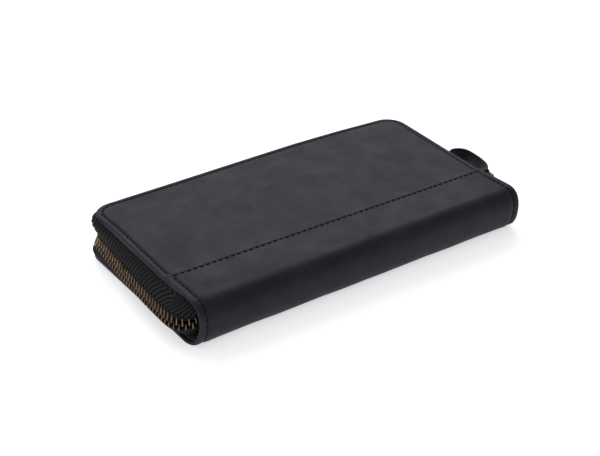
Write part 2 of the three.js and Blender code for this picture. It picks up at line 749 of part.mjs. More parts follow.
for (const isUpper of [false, true]) {
  const prefix = isUpper ? "upper" : "lower";
  add(wallet, prefix + "_zip_tape", tape(isUpper), "tape");
  add(wallet, prefix + "_zip_teeth", chainRow(isUpper), "brass");
  add(wallet, prefix + "_top_stop", topStop(isUpper), "brass");
}
add(wallet, "zip_bottom_stop", bottomStop(), "brass");
add(wallet, "zip_slider_body", sliderBody(), "brass");
add(wallet, "zip_slider_crown", sliderCrown(), "brass");

// The ring leans out from its bar in the crown, and the loop hangs on the ring's far bar
const ringFrame = new THREE.Group();
ringFrame.position.set(...RING_PIVOT, CHAIN_Z);
ringFrame.rotation.z = -RING_ANGLE;
wallet.add(ringFrame);
add(ringFrame, "pull_ring", pullRing(), "brass");
const loopFrame = new THREE.Group();
loopFrame.position.y = RING_LENGTH;
loopFrame.rotation.z = RING_ANGLE - LOOP_ANGLE;
ringFrame.add(loopFrame);
add(loopFrame, "pull_loop", pullLoop(), "leather");
add(loopFrame, "pull_keeper", pullKeeper(), "leather");

// The coin pocket lies half way between the covers, at half their lean
const leaf = new THREE.Group();
leaf.position.z = leafMiddle(0);
leaf.rotation.x = TILT / 2;
wallet.add(leaf);
for (const isUpper of [false, true]) {
  const half = new THREE.Group();
  half.scale.z = isUpper ? -1 : 1;
  leaf.add(half);
  const prefix = isUpper ? "upper" : "lower";
  const panel = add(half, "coin_pocket_" + prefix + "_panel", coinPanel(), "pocket");
  panel.position.z = -LEAF_HALF_THICKNESS;
  const sewn = new THREE.Group();
  sewn.scale.z = -1;
  half.add(sewn);
  add(sewn, "coin_zip_" + prefix + "_tape", coinTape(), "tape");
  add(sewn, "coin_zip_" + prefix + "_teeth", coinTeeth(isUpper ? COIN_TOOTH_PITCH / 2 : 0), "brass");
}
add(leaf, "coin_zip_left_stop", coinStop(-1), "brass");
add(leaf, "coin_zip_right_stop", coinStop(1), "brass");
add(leaf, "coin_slider_body", coinSliderBody(), "brass");
const coinTab = add(leaf, "coin_pull", coinPull(), "brass");
coinTab.position.set(COIN_SLIDER_X + 1.6, COIN_CHAIN_Y + 2.85, 0);

export default wallet;
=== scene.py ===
"""Looks of a zip-around long wallet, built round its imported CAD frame.

Sizes are in millimetres until a mesh is made. Cover coordinates have z = 0 on a cover's outer face
and z rising inward, so both covers are drawn alike and the upper one is turned over into place.
"""

import json
import math

import bmesh
import bpy
import numpy as np
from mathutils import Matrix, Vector, noise


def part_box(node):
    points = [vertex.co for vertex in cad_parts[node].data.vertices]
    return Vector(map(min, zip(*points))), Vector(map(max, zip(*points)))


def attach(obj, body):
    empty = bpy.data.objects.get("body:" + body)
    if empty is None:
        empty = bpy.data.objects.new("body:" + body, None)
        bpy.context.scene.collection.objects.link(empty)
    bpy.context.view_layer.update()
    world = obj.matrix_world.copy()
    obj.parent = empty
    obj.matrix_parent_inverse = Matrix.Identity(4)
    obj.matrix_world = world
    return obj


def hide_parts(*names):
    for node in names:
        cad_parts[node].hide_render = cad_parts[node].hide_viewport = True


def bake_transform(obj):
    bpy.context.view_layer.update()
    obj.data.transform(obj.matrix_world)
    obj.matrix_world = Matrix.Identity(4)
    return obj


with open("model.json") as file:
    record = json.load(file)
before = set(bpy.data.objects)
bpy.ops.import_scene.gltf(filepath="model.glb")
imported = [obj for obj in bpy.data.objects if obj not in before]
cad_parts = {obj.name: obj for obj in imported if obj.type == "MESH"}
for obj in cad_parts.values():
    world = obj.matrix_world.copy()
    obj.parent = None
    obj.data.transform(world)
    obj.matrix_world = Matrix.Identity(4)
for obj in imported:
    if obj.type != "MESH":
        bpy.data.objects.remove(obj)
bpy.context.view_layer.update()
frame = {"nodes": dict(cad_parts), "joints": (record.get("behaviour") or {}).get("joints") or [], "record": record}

MM = 0.001
JOINTS = {joint["name"]: joint for joint in frame["joints"]}


def box_mm(node):
    low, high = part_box(node)
    return np.array(low) / MM, np.array(high) / MM


def pivot_mm(joint):
    return np.array(JOINTS[joint]["pos_m"]) / MM


# Overall shape
HALF_LENGTH = box_mm("bottom_cover_leather")[1][0]
BACK_Y = box_mm("bottom_cover_leather")[1][1]
CORNER_RADIUS = 11.5
SEAM_Y = -22.0
BACK_THICKNESS = 26.0
HINGE = pivot_mm("cover_open")
TILT = math.radians(1.7)
COVER_SPACING = 22.87
BOARD_LEVEL = 1.7

# Cover outline and section
SIDE_PLACES = np.concatenate([
    np.linspace(SEAM_Y - 6.5, SEAM_Y - 2.5, 3),
    np.linspace(SEAM_Y - 1.9, SEAM_Y + 1.1, 9),
    np.linspace(SEAM_Y + 2.5, BACK_Y - CORNER_RADIUS, 38),
])
CORNER_STEPS = 14
BACK_STEPS = 110
# (inset, height above the outer face): panel, stitch groove, border, edge, turned rim
COVER_PROFILE = [
    (12.0, 0.0), (9.0, 0.0), (7.0, 0.01), (5.8, 0.04), (5.0, 0.1), (4.4, 0.22), (4.0, 0.4), (3.7, 0.62),
    (3.45, 0.82), (3.2, 0.9), (2.95, 0.8), (2.7, 0.62), (2.4, 0.5), (1.9, 0.44), (1.3, 0.45), (0.85, 0.54),
    (0.5, 0.72), (0.25, 0.98), (0.07, 1.35), (0.0, 1.9), (0.05, 2.5), (0.22, 2.95), (0.55, 3.3), (1.0, 3.45),
    (1.4, 3.35), (1.6, 3.0), (1.65, 2.4), (1.65, 1.75), (4.0, BOARD_LEVEL), (12.0, BOARD_LEVEL),
]
GROOVE_INSET = 3.2
GROOVE_HEIGHT = 0.9

# Inside a cover
NOTCH_Y = -34.0
BOARD_INSET = 10.0
BOARD_SPINE_Y = -40.0
BOARD_LEVELS = (1.8, 2.8)
LINING_INSET = 3.0
LINING_SPINE_Y = -43.0
LINING_LEVELS = (2.9, 3.5)
LINING_SPINE_WIDTH = 89.0
LINING_STITCH_INSET = 2.6
SLIP_LEVELS = (3.7, 4.4)
STACK_HALF_LENGTH = 88.0
STACK_SPINE_Y = -44.0
STACK_MOUTH_Y = 42.0
STACK_TOP = 7.6
POCKET_COUNT = 4
POCKET_BASE = 4.5
POCKET_PITCH = 0.8
POCKET_STAGGER = 11.0
POCKET_THICKNESS = 0.7
POCKET_SIDE_STITCH = 86.0
POCKET_GAPE = 0.3
MOUTH_STITCH = 2.2
EDGE_ROUNDING = 0.35
NEAR_EDGE = np.array([0, 0.05, 0.16, 0.36, 0.7, 1.2, 2.0])
NEAR_SEAM = np.array([-1.0, -0.55, -0.25, 0, 0.25, 0.55, 1.0])

# Coin pocket, gussets and coin zip
LEAF_SPINE_Y = -43.0
LEAF_MOUTH_Y = 29.5
COIN_EDGE_STITCH = 3.6
COIN_CHAIN_Y = 35.0
COIN_CHAIN_HALF_LENGTH = 80.0
COIN_TOOTH_PITCH = 2.0
COIN_TOOTH_SCALE = 0.7
COIN_RIB_PITCH = 1.9
COIN_PULL_X = 77.6
COIN_PULL_OUT = 2.85
GUSSET_EDGE = 90.3
GUSSET_FOLD = 74.0

# Spine panel
SPINE_FLAT_Z = 0.2
SPINE_BELLY_Z = 14.2
SPINE_LOWER_Y = -47.0
SPINE_UPPER_Y = -46.0
SPINE_FULLNESS = 0.9
# what settle is given as the body of a piece on the spine, which bends in the real wallet; settle puts such a
# piece on no body, with its place baked in
SPINE = "spine"
# (distance from the folded edge, raise) of the lapped seam
SEAM_PROFILE = [
    (0.0, -0.3), (0.08, 0.0), (0.3, 0.26), (0.6, 0.38), (1.0, 0.43), (1.6, 0.42), (2.2, 0.34), (2.5, 0.26),
    (2.7, 0.17), (2.9, 0.11), (3.1, 0.1), (3.35, 0.11), (4.2, 0.11), (6.5, 0.08), (9.5, 0.0),
]
SEAM_STITCH_PLACE = 2.9
# (inset from the end, sink) of the spine's two end borders
END_PROFILE = [
    (0.0, 1.1), (0.06, 0.75), (0.2, 0.48), (0.45, 0.26), (0.8, 0.12), (1.3, 0.06), (2.2, 0.05), (2.8, 0.1),
    (3.2, 0.26), (3.5, 0.5), (3.85, 0.6), (4.2, 0.46), (4.6, 0.16), (5.2, -0.06), (6.4, -0.14), (8.0, -0.1),
    (11.0, 0.0),
]
END_STITCH_INSET = 3.85
SPINE_THICKNESS = 1.15

# Perimeter zip
CHAIN_Z = (box_mm("zip_bottom_stop")[0][2] + box_mm("zip_bottom_stop")[1][2]) / 2
CHAIN_BACK_Y = 52.0
CHAIN_RIGHT_X = 101.5
CHAIN_LEFT_X = -101.0
CHAIN_BULGE_X = -106.2
CHAIN_BULGE_Y = -33.0
LEG_START_Y = 40.0
LEG_END_Y = -36.0
TAPE_INSET = 2.1
TAPE_THICKNESS = 0.55
TAPE_EDGE = 2.7
TOOTH_PITCH = 2.9
RIB_PITCH = 2.7
RIB_HEIGHT = 0.36
RIB_SLOPE = 0.95
CHEVRON_SHARE = 0.33
TAPE_CORNER = 103.0
TAPE_CORNER_REACH = 14.0
TAPE_CORNER_BULGE = 6.5
# (height across the chain, half length along it, half thickness) of one tooth
TOOTH_RINGS = [(3.0, 0.26, 0.8), (2.75, 0.38, 1.08), (2.2, 0.42, 1.2), (0.7, 0.42, 1.22), (0.2, 0.44, 1.22),
               (-0.4, 0.44, 1.16), (-0.7, 0.34, 0.95), (-0.82, 0.18, 0.6)]
TOOTH_LEAN = 0.24
UPPER_TOOTH_WEAR = np.array([0.3, 0.55, 0.6, 0.6, 0.6, 0.6, 0.5, 0.4])
# The lower row's heads are kept dark as painted shade: they lie in behind the upper row's.
LOWER_TOOTH_WEAR_AND_SHADE = np.array([0.3, 0.55, 0.6, 0.4, 0.1, 0.0, 0.0, 0.0])
ROUND_SQUARE = [(1, 0.55), (0.62, 1), (-0.62, 1), (-1, 0.55),
                (-1, -0.55), (-0.62, -1), (0.62, -1), (1, -0.55)]
TOOTH = np.array([[[a * length, b * thick, height] for a, b in ROUND_SQUARE]
                  for height, length, thick in TOOTH_RINGS])

# Thread; each ring of a stitch is (place along it, size, height off the surface)
STITCH_PITCH = 3.5
STITCH_RADIUS = 0.36
STITCH_FILL = 0.76
STITCH_SKEW = 0.05
SEAM_THREAD_RADIUS = 0.4
SEAM_THREAD_FILL = 0.66
INNER_PITCH = 3.0
INNER_THREAD_RADIUS = 0.24
STITCH_RINGS = [(-1.0, 0.45, -0.55), (-0.9, 0.8, -0.3), (-0.6, 1.0, 0.0), (0.0, 1.05, 0.06), (0.6, 1.0, 0.0),
                (0.9, 0.8, -0.3), (1.0, 0.45, -0.55)]

# Scale of the weave of the lining
TWILL_SCALE = 1500.0

# Slider, ring and leather pull
SLIDER_Y = float((box_mm("zip_slider_body")[0][1] + box_mm("zip_slider_body")[1][1]) / 2)
SLIDER_HALF = np.array([5.0, 4.3])
RING_PIVOT = pivot_mm("pull_ring_swing")
RING_ANGLE = math.radians(-28)
RING_LENGTH = 9.2
RING_HALF_WIDTH = 4.4
RING_CORNER = 1.6
RING_WIRE = 0.7
LOOP_PIVOT = pivot_mm("pull_loop_swing")
LOOP_ANGLE = math.radians(-3.6)
STRAP_THICKNESS = 1.5
STRAP_HEIGHT = 8.6
LOOP_INNER_SHARE = 0.9
BLOCK_WEAR = 0.6

# How far the sewn wallet has left its drawn shape (x along the length: share of BACK_RISE)
BACK_RISE_SHARES = [(-100, 0.45), (-80, 0.62), (-50, 0.72), (0, 1.0), (30, 1.1), (60, 0.8), (85, 0.3),
                    (100, 0.0)]
BACK_RISE = 1.4
BACK_PUSH = 1.0
LEFT_SPREAD = 3.35
CORNER_PUSH = 1.5
TOP_CORNER_PUSH = 1.1
CHAIN_SAG = 1.3
SHOULDER_RISE = 1.0
RIGHT_SPREAD = 0.9
SEAM_SKEW = 0.012

# Camera and light
CAMERA_TARGET = (-7.95, -3.58, 11.99)
CAMERA_AZIMUTH = -35.02
CAMERA_ELEVATION = 30.36
CAMERA_DISTANCE = 703.1
CAMERA_ROLL = 0.19
CAMERA_LENS = 79.9
FLOOR_REACH = 6.0
FLOOR_GAP = 0.0002
FLOOR_GLOW = 0.53
WORLD_STRENGTH = 0.46
# name, place and size in metres, power in watts; each lamp faces the origin
LAMPS = [
    ("overhead", (0.35, 1.05, 0.95), (1.8, 0.9), 12.5),
    ("left_fill", (-1.1, -0.75, 0.5), (1.0, 1.0), 3),
]


# ---------------------------------------------------------------- mesh helpers


def signed_power(value, power):
    return np.sign(value) * np.abs(value) ** power


def squircle(steps, power):
    """Unit rounded square, as a row of x and a row of y; a power of 1 makes it a circle."""
    turn = np.linspace(0, 2 * np.pi, steps + 1)[:-1]
    return signed_power(np.stack([np.cos(turn), np.sin(turn)]), power)


def smooth_step(low, high, value):
    share = np.clip((np.asarray(value, float) - low) / (high - low), 0, 1)
    return share * share * (3 - 2 * share)


def hump(distance, width):
    """A smooth hump, 1 at its middle."""
    return np.exp(-((distance / width) ** 2))


def along(table, value):
    """Value read off a table of (place, amount) pairs."""
    places, amounts = zip(*table)
    return np.interp(value, places, amounts)


def ripple(points, wavelength, seed=0.0):
    """Smooth noise from -1 to 1 at each point."""
    flat = np.asarray(points, float).reshape(-1, 3) / wavelength + seed
    values = [noise.noise(Vector(p)) for p in flat]
    return np.array(values).reshape(np.shape(points)[:-1])


def relax(points):
    """The shape of the real thing: covers bowed up at the back, ends spread, and the seam a little askew."""
    points = np.array(points, float)
    x, y, z = points.T
    high = smooth_step(14, 21, z)
    low = 1 - smooth_step(5, 16, z)
    middle = smooth_step(3, 11, z) * smooth_step(22, 14, z)
    left = smooth_step(-84, -100, x)
    back = smooth_step(-15, 52, y)
    front_end = smooth_step(-44, -53, y)
    rise = along(BACK_RISE_SHARES, x) * back * high
    shoulder = smooth_step(-16, -38, y) * high
    seam = smooth_step(-60, -30, y) * smooth_step(15, -20, y) * high
    moved = points.copy()
    moved[:, 0] -= LEFT_SPREAD * left * low * (1 - 0.75 * front_end)
    moved[:, 0] += RIGHT_SPREAD * smooth_step(86, 100, x) * smooth_step(-33, -46, y)
    corner = left * smooth_step(25, 52, y) * high
    moved[:, :2] += TOP_CORNER_PUSH * corner[:, None] * [-1, 0.8]
    moved[:, 1] += BACK_PUSH * rise + CORNER_PUSH * left * back * low - SEAM_SKEW * x * seam
    moved[:, 2] += BACK_RISE * rise + SHOULDER_RISE * shoulder
    moved[:, 2] -= CHAIN_SAG * smooth_step(-97, -104, x) * middle * (1 - front_end)
    return moved


class Surface:
    """Points and faces gathered for one mesh, with a value at each point for rubbed wear and painted shade."""

    def __init__(self):
        self.points = []
        self.faces = []
        self.wear_and_shade = []

    def grid(self, points, close_rows=False, close_columns=False, wear_and_shade=0.0):
        """Quads over rows and columns of points."""
        rows, columns = np.shape(points)[:2]
        first = len(self.points)
        self.points.extend(np.asarray(points, float).reshape(-1, 3).tolist())
        self.wear_and_shade.extend(np.broadcast_to(wear_and_shade, (rows, columns)).ravel().tolist())
        for row in range(rows if close_rows else rows - 1):
            here = first + row * columns
            there = first + (row + 1) % rows * columns
            for column in range(columns if close_columns else columns - 1):
                after = (column + 1) % columns
                self.faces.append([here + column, here + after, there + after, there + column])
        return first

    def tube(self, rings, wear_and_shade=0.0):
        """Closed rings joined in a row, with both ends capped."""
        rings = np.asarray(rings, float)
        first = self.grid(rings, close_columns=True, wear_and_shade=wear_and_shade)
        count = rings.shape[1]
        last = first + (len(rings) - 1) * count
        self.faces.append([first + k for k in range(count)][::-1])
        self.faces.append([last + k for k in range(count)])

    def make(self, name, material, sharp=40, merge=0.004, soft=True):
        """The gathered mesh as an object in the wallet's frame."""
        mesh = bpy.data.meshes.new(name)
        points = relax(self.points) if soft else np.array(self.points)
        mesh.from_pydata((points * MM).tolist(), [], self.faces)
        wear_and_shade = mesh.attributes.new("wear_and_shade", "FLOAT", "POINT")
        wear_and_shade.data.foreach_set("value", np.array(self.wear_and_shade, np.float32))
        tidy = bmesh.new()
        tidy.from_mesh(mesh)
        bmesh.ops.remove_doubles(tidy, verts=tidy.verts, dist=merge * MM)
        bmesh.ops.dissolve_degenerate(tidy, edges=tidy.edges, dist=1e-7)
        bmesh.ops.recalc_face_normals(tidy, faces=tidy.faces)
        tidy.to_mesh(mesh)
        tidy.free()
        mesh.shade_smooth()
        mesh.set_sharp_from_angle(angle=math.radians(sharp))
        mesh.materials.append(material)
        piece = bpy.data.objects.new(name, mesh)
        bpy.context.scene.collection.objects.link(piece)
        return piece


def settle(surface, name, body, slot, *nodes, material=None, **mesh):
    """Makes a surface's mesh with its slot's material, puts it on its body and hides the CAD nodes it stands for.

    A body of SPINE is for a piece on the spine, which bends in the real wallet; such a piece is put on no body,
    its place baked into its mesh.
    """
    piece = surface.make(name, MATERIALS[material or slot], **mesh)
    if body == SPINE:
        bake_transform(piece)
    else:
        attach(piece, body)
    if nodes:
        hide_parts(*nodes)


def settle_thread(surface, name, body, slot):
    """As settle, for stitches, which stand for no CAD node."""
    settle(surface, name, body, slot, material="thread", sharp=80)


def distances_along(line):
    steps = np.linalg.norm(np.diff(np.asarray(line, float), axis=0), axis=1)
    return np.concatenate([[0], np.cumsum(steps)])


def frames_of(line):
    """Unit directions along a line of points."""
    line = np.asarray(line, float)
    step = np.gradient(line, axis=0)
    return step / np.linalg.norm(step, axis=1, keepdims=True)


def outward_of(line):
    """Unit directions square to a flat line."""
    ahead = frames_of(line)
    return np.stack([-ahead[:, 1], ahead[:, 0]], axis=-1)


def resample(line, places):
    """Points of a line at the given distances along it."""
    line = np.asarray(line, float)
    distances = distances_along(line)
    return np.stack([np.interp(places, distances, line[:, k]) for k in range(line.shape[1])], axis=-1)


def length_of(line):
    return float(distances_along(line)[-1])


# ------------------------------------------------------------------- materials


class Shader:
    """A material with its Principled node, and short calls for adding and joining nodes."""

    def __init__(self, name):
        self.material = bpy.data.materials.new(name)
        self.material.use_nodes = True
        self.tree = self.material.node_tree
        self.principled = self.tree.nodes["Principled BSDF"]
        self.place = self.node("ShaderNodeTexCoord").outputs["Object"]

    def node(self, kind, **settings):
        made = self.tree.nodes.new(kind)
        for key, value in settings.items():
            setattr(made, key, value)
        return made

    def join(self, source, target):
        self.tree.links.new(source, target)

    def noise(self, scale, detail=3.0, roughness=0.5):
        made = self.node("ShaderNodeTexNoise")
        made.inputs["Scale"].default_value = scale
        made.inputs["Detail"].default_value = detail
        made.inputs["Roughness"].default_value = roughness
        self.join(self.place, made.inputs["Vector"])
        return made.outputs["Fac"]

    def cells(self, scale):
        made = self.node("ShaderNodeTexVoronoi")
        made.inputs["Scale"].default_value = scale
        self.join(self.place, made.inputs["Vector"])
        return made.outputs["Distance"]

    def wave(self, scale):
        """Diagonal bands, a little bent."""
        made = self.node("ShaderNodeTexWave", bands_direction="DIAGONAL")
        made.inputs["Scale"].default_value = scale
        made.inputs["Distortion"].default_value = 0.46
        self.join(self.place, made.inputs["Vector"])
        return made.outputs["Fac"]

    def attribute(self, name):
        return self.node("ShaderNodeAttribute", attribute_name=name).outputs["Fac"]

    def math(self, operation, a, b, clamp=False):
        made = self.node("ShaderNodeMath", operation=operation, use_clamp=clamp)
        for value, socket in ((a, made.inputs[0]), (b, made.inputs[1])):
            if isinstance(value, (int, float)):
                socket.default_value = value
            else:
                self.join(value, socket)
        return made.outputs[0]

    def span(self, value, low, high, from_low=0.0, from_high=1.0):
        made = self.node("ShaderNodeMapRange")
        self.join(value, made.inputs["Value"])
        numbers = {"From Min": from_low, "From Max": from_high, "To Min": low, "To Max": high}
        for key, number in numbers.items():
            made.inputs[key].default_value = number
        return made.outputs["Result"]

    def mix(self, share, a, b):
        made = self.node("ShaderNodeMix", data_type="RGBA")
        self.join(share, made.inputs[0])
        for value, socket in ((a, made.inputs[6]), (b, made.inputs[7])):
            if isinstance(value, tuple):
                socket.default_value = (*value, 1)
            else:
                self.join(value, socket)
        return made.outputs[2]

    def bump(self, height, strength, distance, under=None):
        made = self.node("ShaderNodeBump")
        made.inputs["Strength"].default_value = strength
        made.inputs["Distance"].default_value = distance
        self.join(height, made.inputs["Height"])
        if under is not None:
            self.join(under, made.inputs["Normal"])
        return made.outputs["Normal"]

    def finish(self, colour=None, roughness=None, normal=None, **constants):
        for name, source in (("Base Color", colour), ("Roughness", roughness), ("Normal", normal)):
            if source is None:
                continue
            socket = self.principled.inputs[name]
            if isinstance(source, (int, float)):
                socket.default_value = source
            elif isinstance(source, tuple):
                socket.default_value = (*source, 1)
            else:
                self.join(source, socket)
        for name, value in constants.items():
            self.principled.inputs[name.replace("_", " ")].default_value = value
        return self.material


def leather(name, dark, light, rough=(0.48, 0.6), grain=1500.0, depth=0.10):
    """Smooth dyed leather: fine cells, faint pull-up mottling, and paler rubbed edges."""
    look = Shader(name)
    mottle = look.noise(38, 4, 0.6)
    body = look.mix(look.span(mottle, 0, 1, 0.32, 0.68), dark, light)
    rubbed = tuple(c * 2.2 + 0.004 for c in light)
    edge_noise = look.span(look.noise(420, 3), 0.3, 1.0, 0.35, 0.65)
    edge = look.math("MULTIPLY", look.attribute("wear_and_shade"), edge_noise, clamp=True)
    colour = look.mix(edge, body, rubbed)
    cells = look.cells(grain)
    pores = look.noise(grain * 1.9, 2)
    creases = look.noise(160, 5, 0.62)
    fine = look.bump(look.math("ADD", look.math("MULTIPLY", cells, 0.7), pores), depth, 0.0003)
    normal = look.bump(creases, depth * 1.2, 0.0006, fine)
    roughness = look.span(look.noise(70, 4, 0.6), rough[0], rough[1], 0.3, 0.7)
    return look.finish(colour, roughness, normal, Specular_IOR_Level=0.18, Specular_Tint=(0.8, 0.77, 1.0, 1))


def twill(name, dark, light):
    """Woven lining with diagonal ribs."""
    look = Shader(name)
    rib = look.wave(TWILL_SCALE)
    thread = look.noise(TWILL_SCALE * 2.2, 2)
    colour = look.mix(look.math("MULTIPLY", rib, look.span(thread, 0.6, 1.0)), dark, light)
    normal = look.bump(look.math("ADD", rib, look.math("MULTIPLY", thread, 0.5)), 0.35, 0.00025)
    return look.finish(colour, look.span(thread, 0.75, 0.9), normal, Sheen_Weight=0.25, Sheen_Roughness=0.4)


def webbing(name, dark, light):
    """Zip tape: the ribs are in the mesh, and the thread is in the shader; the colour is painted shade, light on
    the rib tops and dark in the gaps.
    """
    look = Shader(name)
    thread = look.noise(2600, 2)
    # Painted shade: light on the rib tops, dark in the gaps.
    colour = look.mix(look.attribute("wear_and_shade"), dark, light)
    colour = look.mix(look.span(thread, 0, 0.5), colour, dark)
    normal = look.bump(thread, 0.3, 0.0002)
    return look.finish(colour, 0.75, normal, Specular_IOR_Level=0.15)


def metal(name, bright, tarnish, rough):
    """Antique brass: bright where it is rubbed, brown in the recesses and where painted shade is set."""
    look = Shader(name)
    patches = look.noise(520, 4, 0.6)
    share = look.math("ADD", look.attribute("wear_and_shade"), look.span(patches, -0.35, 0.35, 0.3, 0.7), clamp=True)
    colour = look.mix(share, tarnish, bright)
    normal = look.bump(look.noise(2400, 3), 0.12, 0.0002)
    roughness = look.span(share, rough[1], rough[0])
    return look.finish(colour, roughness, normal, Metallic=1.0)


def sewing_thread(name, colour):
    look = Shader(name)
    twist = look.noise(4200, 1)
    shade = look.mix(twist, tuple(c * 0.6 for c in colour), tuple(c * 1.5 for c in colour))
    return look.finish(shade, 0.65, look.bump(twist, 0.3, 0.0002), Specular_IOR_Level=0.15)


def paperboard(name):
    look = Shader(name)
    fibre = look.noise(900, 5, 0.7)
    colour = look.mix(fibre, (0.22, 0.2, 0.17), (0.42, 0.39, 0.33))
    return look.finish(colour, 0.9, look.bump(fibre, 0.3, 0.0003))


MATERIALS = {
    "cover_leather": leather("cover_leather", (0.0104, 0.0096, 0.0142), (0.0172, 0.016, 0.0228)),
    "pull_leather": leather("pull_leather", (0.008, 0.0078, 0.0092), (0.013, 0.0126, 0.0146)),
    "pocket_leather": leather("pocket_leather", (0.012, 0.0118, 0.013), (0.019, 0.0185, 0.021),
                              (0.5, 0.62), 1300.0, 0.16),
    "lining_fabric": twill("lining_twill", (0.006, 0.006, 0.007), (0.016, 0.016, 0.018)),
    # The zip tape's dark colour is painted shade for its rib gaps.
    "zip_tape": webbing("zip_tape", (0.002, 0.002, 0.0025), (0.026, 0.026, 0.028)),
    "zip_teeth": metal("zip_teeth", (0.27, 0.185, 0.105), (0.035, 0.03, 0.024), (0.36, 0.56)),
    # The hardware's brass is a much darker copy of the teeth's brass: painted shade.
    "zip_hardware": metal("zip_hardware", (0.075, 0.062, 0.048), (0.045, 0.04, 0.034), (0.28, 0.48)),
    "thread": sewing_thread("black_thread", (0.004, 0.004, 0.0045)),
    "board": paperboard("grey_board"),
}


# -------------------------------------------------------- covers and their place


def leaned(points, angle):
    """Points turned about X."""
    y, z = points[..., 1], points[..., 2]
    cosine, sine = math.cos(angle), math.sin(angle)
    return np.stack([points[..., 0], y * cosine - z * sine, y * sine + z * cosine], axis=-1)


def place(points, upper):
    """Cover coordinates to the wallet's own, for the lower or the upper cover."""
    points = np.array(points, float)
    if not upper:
        return points
    return leaned(points * [1, 1, -1] - [0, HINGE[1], HINGE[2] - COVER_SPACING], TILT) + [0, *HINGE[1:]]


def top_face(y):
    """Height of the upper cover's outer face."""
    return BACK_THICKNESS - (BACK_Y - y) * math.tan(TILT)


def body_name(upper):
    return "top_cover" if upper else "root"


def prefix(upper):
    return "top" if upper else "bottom"


def half_word(upper):
    return "upper" if upper else "lower"


def zip_side_line(inset, side_places=SIDE_PLACES):
    """Outline of a cover's three zip sides, drawn in, from the left seam round to the right one."""
    radius = max(CORNER_RADIUS - inset, 0.0)
    x = HALF_LENGTH - inset
    y = BACK_Y - inset
    low = side_places[0]
    share = (side_places - low) / (side_places[-1] - low)
    side = low + share * (y - radius - low)
    left = np.stack([np.full_like(side, -x), side], axis=-1)
    turn = np.linspace(0, np.pi / 2, CORNER_STEPS + 1)[1:-1]
    corner = np.stack([radius - x - radius * np.cos(turn), y - radius + radius * np.sin(turn)], axis=-1)
    back = np.linspace(radius - x, 0, BACK_STEPS // 2 + 1)
    half = np.concatenate([left, corner, np.stack([back, np.full_like(back, y)], axis=-1)])
    return np.concatenate([half, half[-2::-1] * [-1, 1]])


def tuck_under_seam(points):
    """Thins a cover's leather and draws it in where the spine panel laps over it."""
    points = np.array(points, float)
    under = smooth_step(SEAM_Y + 0.3, SEAM_Y - 1.7, points[..., 1])
    thin = 1.32 + 0.1 * points[..., 2]
    points[..., 2] += (thin - points[..., 2]) * under
    points[..., 0] *= 1 - 0.02 * under
    return points


def soften(points, upper):
    """Slow hollows and swells of leather over board, on the outer side only."""
    points = np.array(points, float)
    outer = smooth_step(1.5, 0.6, points[..., 2])
    inset = np.minimum(HALF_LENGTH - np.abs(points[..., 0]), BACK_Y - points[..., 1])
    depth = 0.16 if upper else 0.02
    swell = ripple(points * [1, 1, 0], 34, 3.0) + 0.5 * ripple(points * [1, 1, 0], 15, 8.0)
    points[..., 2] += outer * depth * (swell * smooth_step(2, 14, inset) + 0.15)
    return points


def cover_points(points, upper):
    return place(soften(tuck_under_seam(points), upper), upper)


def cover_leather(upper):
    surface = Surface()
    rings = []
    for inset, height in COVER_PROFILE:
        line = zip_side_line(inset)
        rings.append(np.column_stack([line, np.full(len(line), height)]))
    rings = np.array(rings)
    edge = np.interp(range(len(COVER_PROFILE)), [12, 14, 16, 18, 20], [0, 0.1, 0.35, 0.15, 0])
    lip = np.interp(range(len(COVER_PROFILE)), [5, 7, 8], [0, 0.15, 0])
    wear_and_shade = np.repeat((edge + lip)[:, None], rings.shape[1], axis=1)
    surface.grid(cover_points(rings, upper), wear_and_shade=wear_and_shade)
    side_count = len(SIDE_PLACES)
    for ring in (rings[0], rings[-1]):
        left = ring[:side_count]
        right = ring[::-1][:side_count]
        share = np.linspace(0, 1, BACK_STEPS + 1)[None, :, None]
        panel = left[:, None] * (1 - share) + right[:, None] * share
        surface.grid(cover_points(panel, upper))
    hem_outer = np.concatenate([rings[::-1, 0], panel_row(rings[0]), rings[:, -1]])
    hem_inner = panel_row(rings[-1])
    surface.grid(cover_points(seam_hem(hem_outer, hem_inner), upper))
    settle(surface, prefix(upper) + "_cover_leather_skin",
           body_name(upper), "cover_leather", prefix(upper) + "_cover_leather", sharp=60)


def panel_row(ring):
    """The panel's first row, between a ring's two ends."""
    share = np.linspace(0, 1, BACK_STEPS + 1)[:, None]
    return ring[0] * (1 - share) + ring[-1] * share


def seam_hem(outer, inner):
    """Rows that close the leather's cut edge under the seam."""
    share = np.linspace(0, 1, len(outer))
    matched = resample(inner, share * length_of(inner))
    return np.array([outer, matched])


# ---------------------------------------------------------------------- stitches


def stitch_row(surface, line, up, pitch=STITCH_PITCH, radius=STITCH_RADIUS, fill=STITCH_FILL):
    """Thread dashes along a line; up is the direction off the surface, one for each point of the line."""
    line = np.asarray(line, float)
    up = np.broadcast_to(np.asarray(up, float), line.shape)
    total = length_of(line)
    count = max(1, int(total / pitch))
    step = total / count
    centres = (np.arange(count) + 0.5) * step
    ends = [resample(line, centres + side * 0.5 * fill * step) for side in (-1, 1)]
    lift = resample(np.column_stack([line, up]), centres)[:, 3:]
    round_x, round_y = squircle(6, 1)[..., None]
    for start, end, off in zip(*ends, lift):
        off = off / np.linalg.norm(off)
        ahead = (end - start) / 2
        across = np.cross(ahead, off)
        across = across / np.linalg.norm(across)
        middle = (start + end) / 2
        rings = []
        for place_along, size, height in STITCH_RINGS:
            centre = middle + ahead * place_along + off * height * radius + across * STITCH_SKEW * place_along
            rings.append(centre + radius * size * (round_x * across + round_y * off))
        surface.tube(rings)


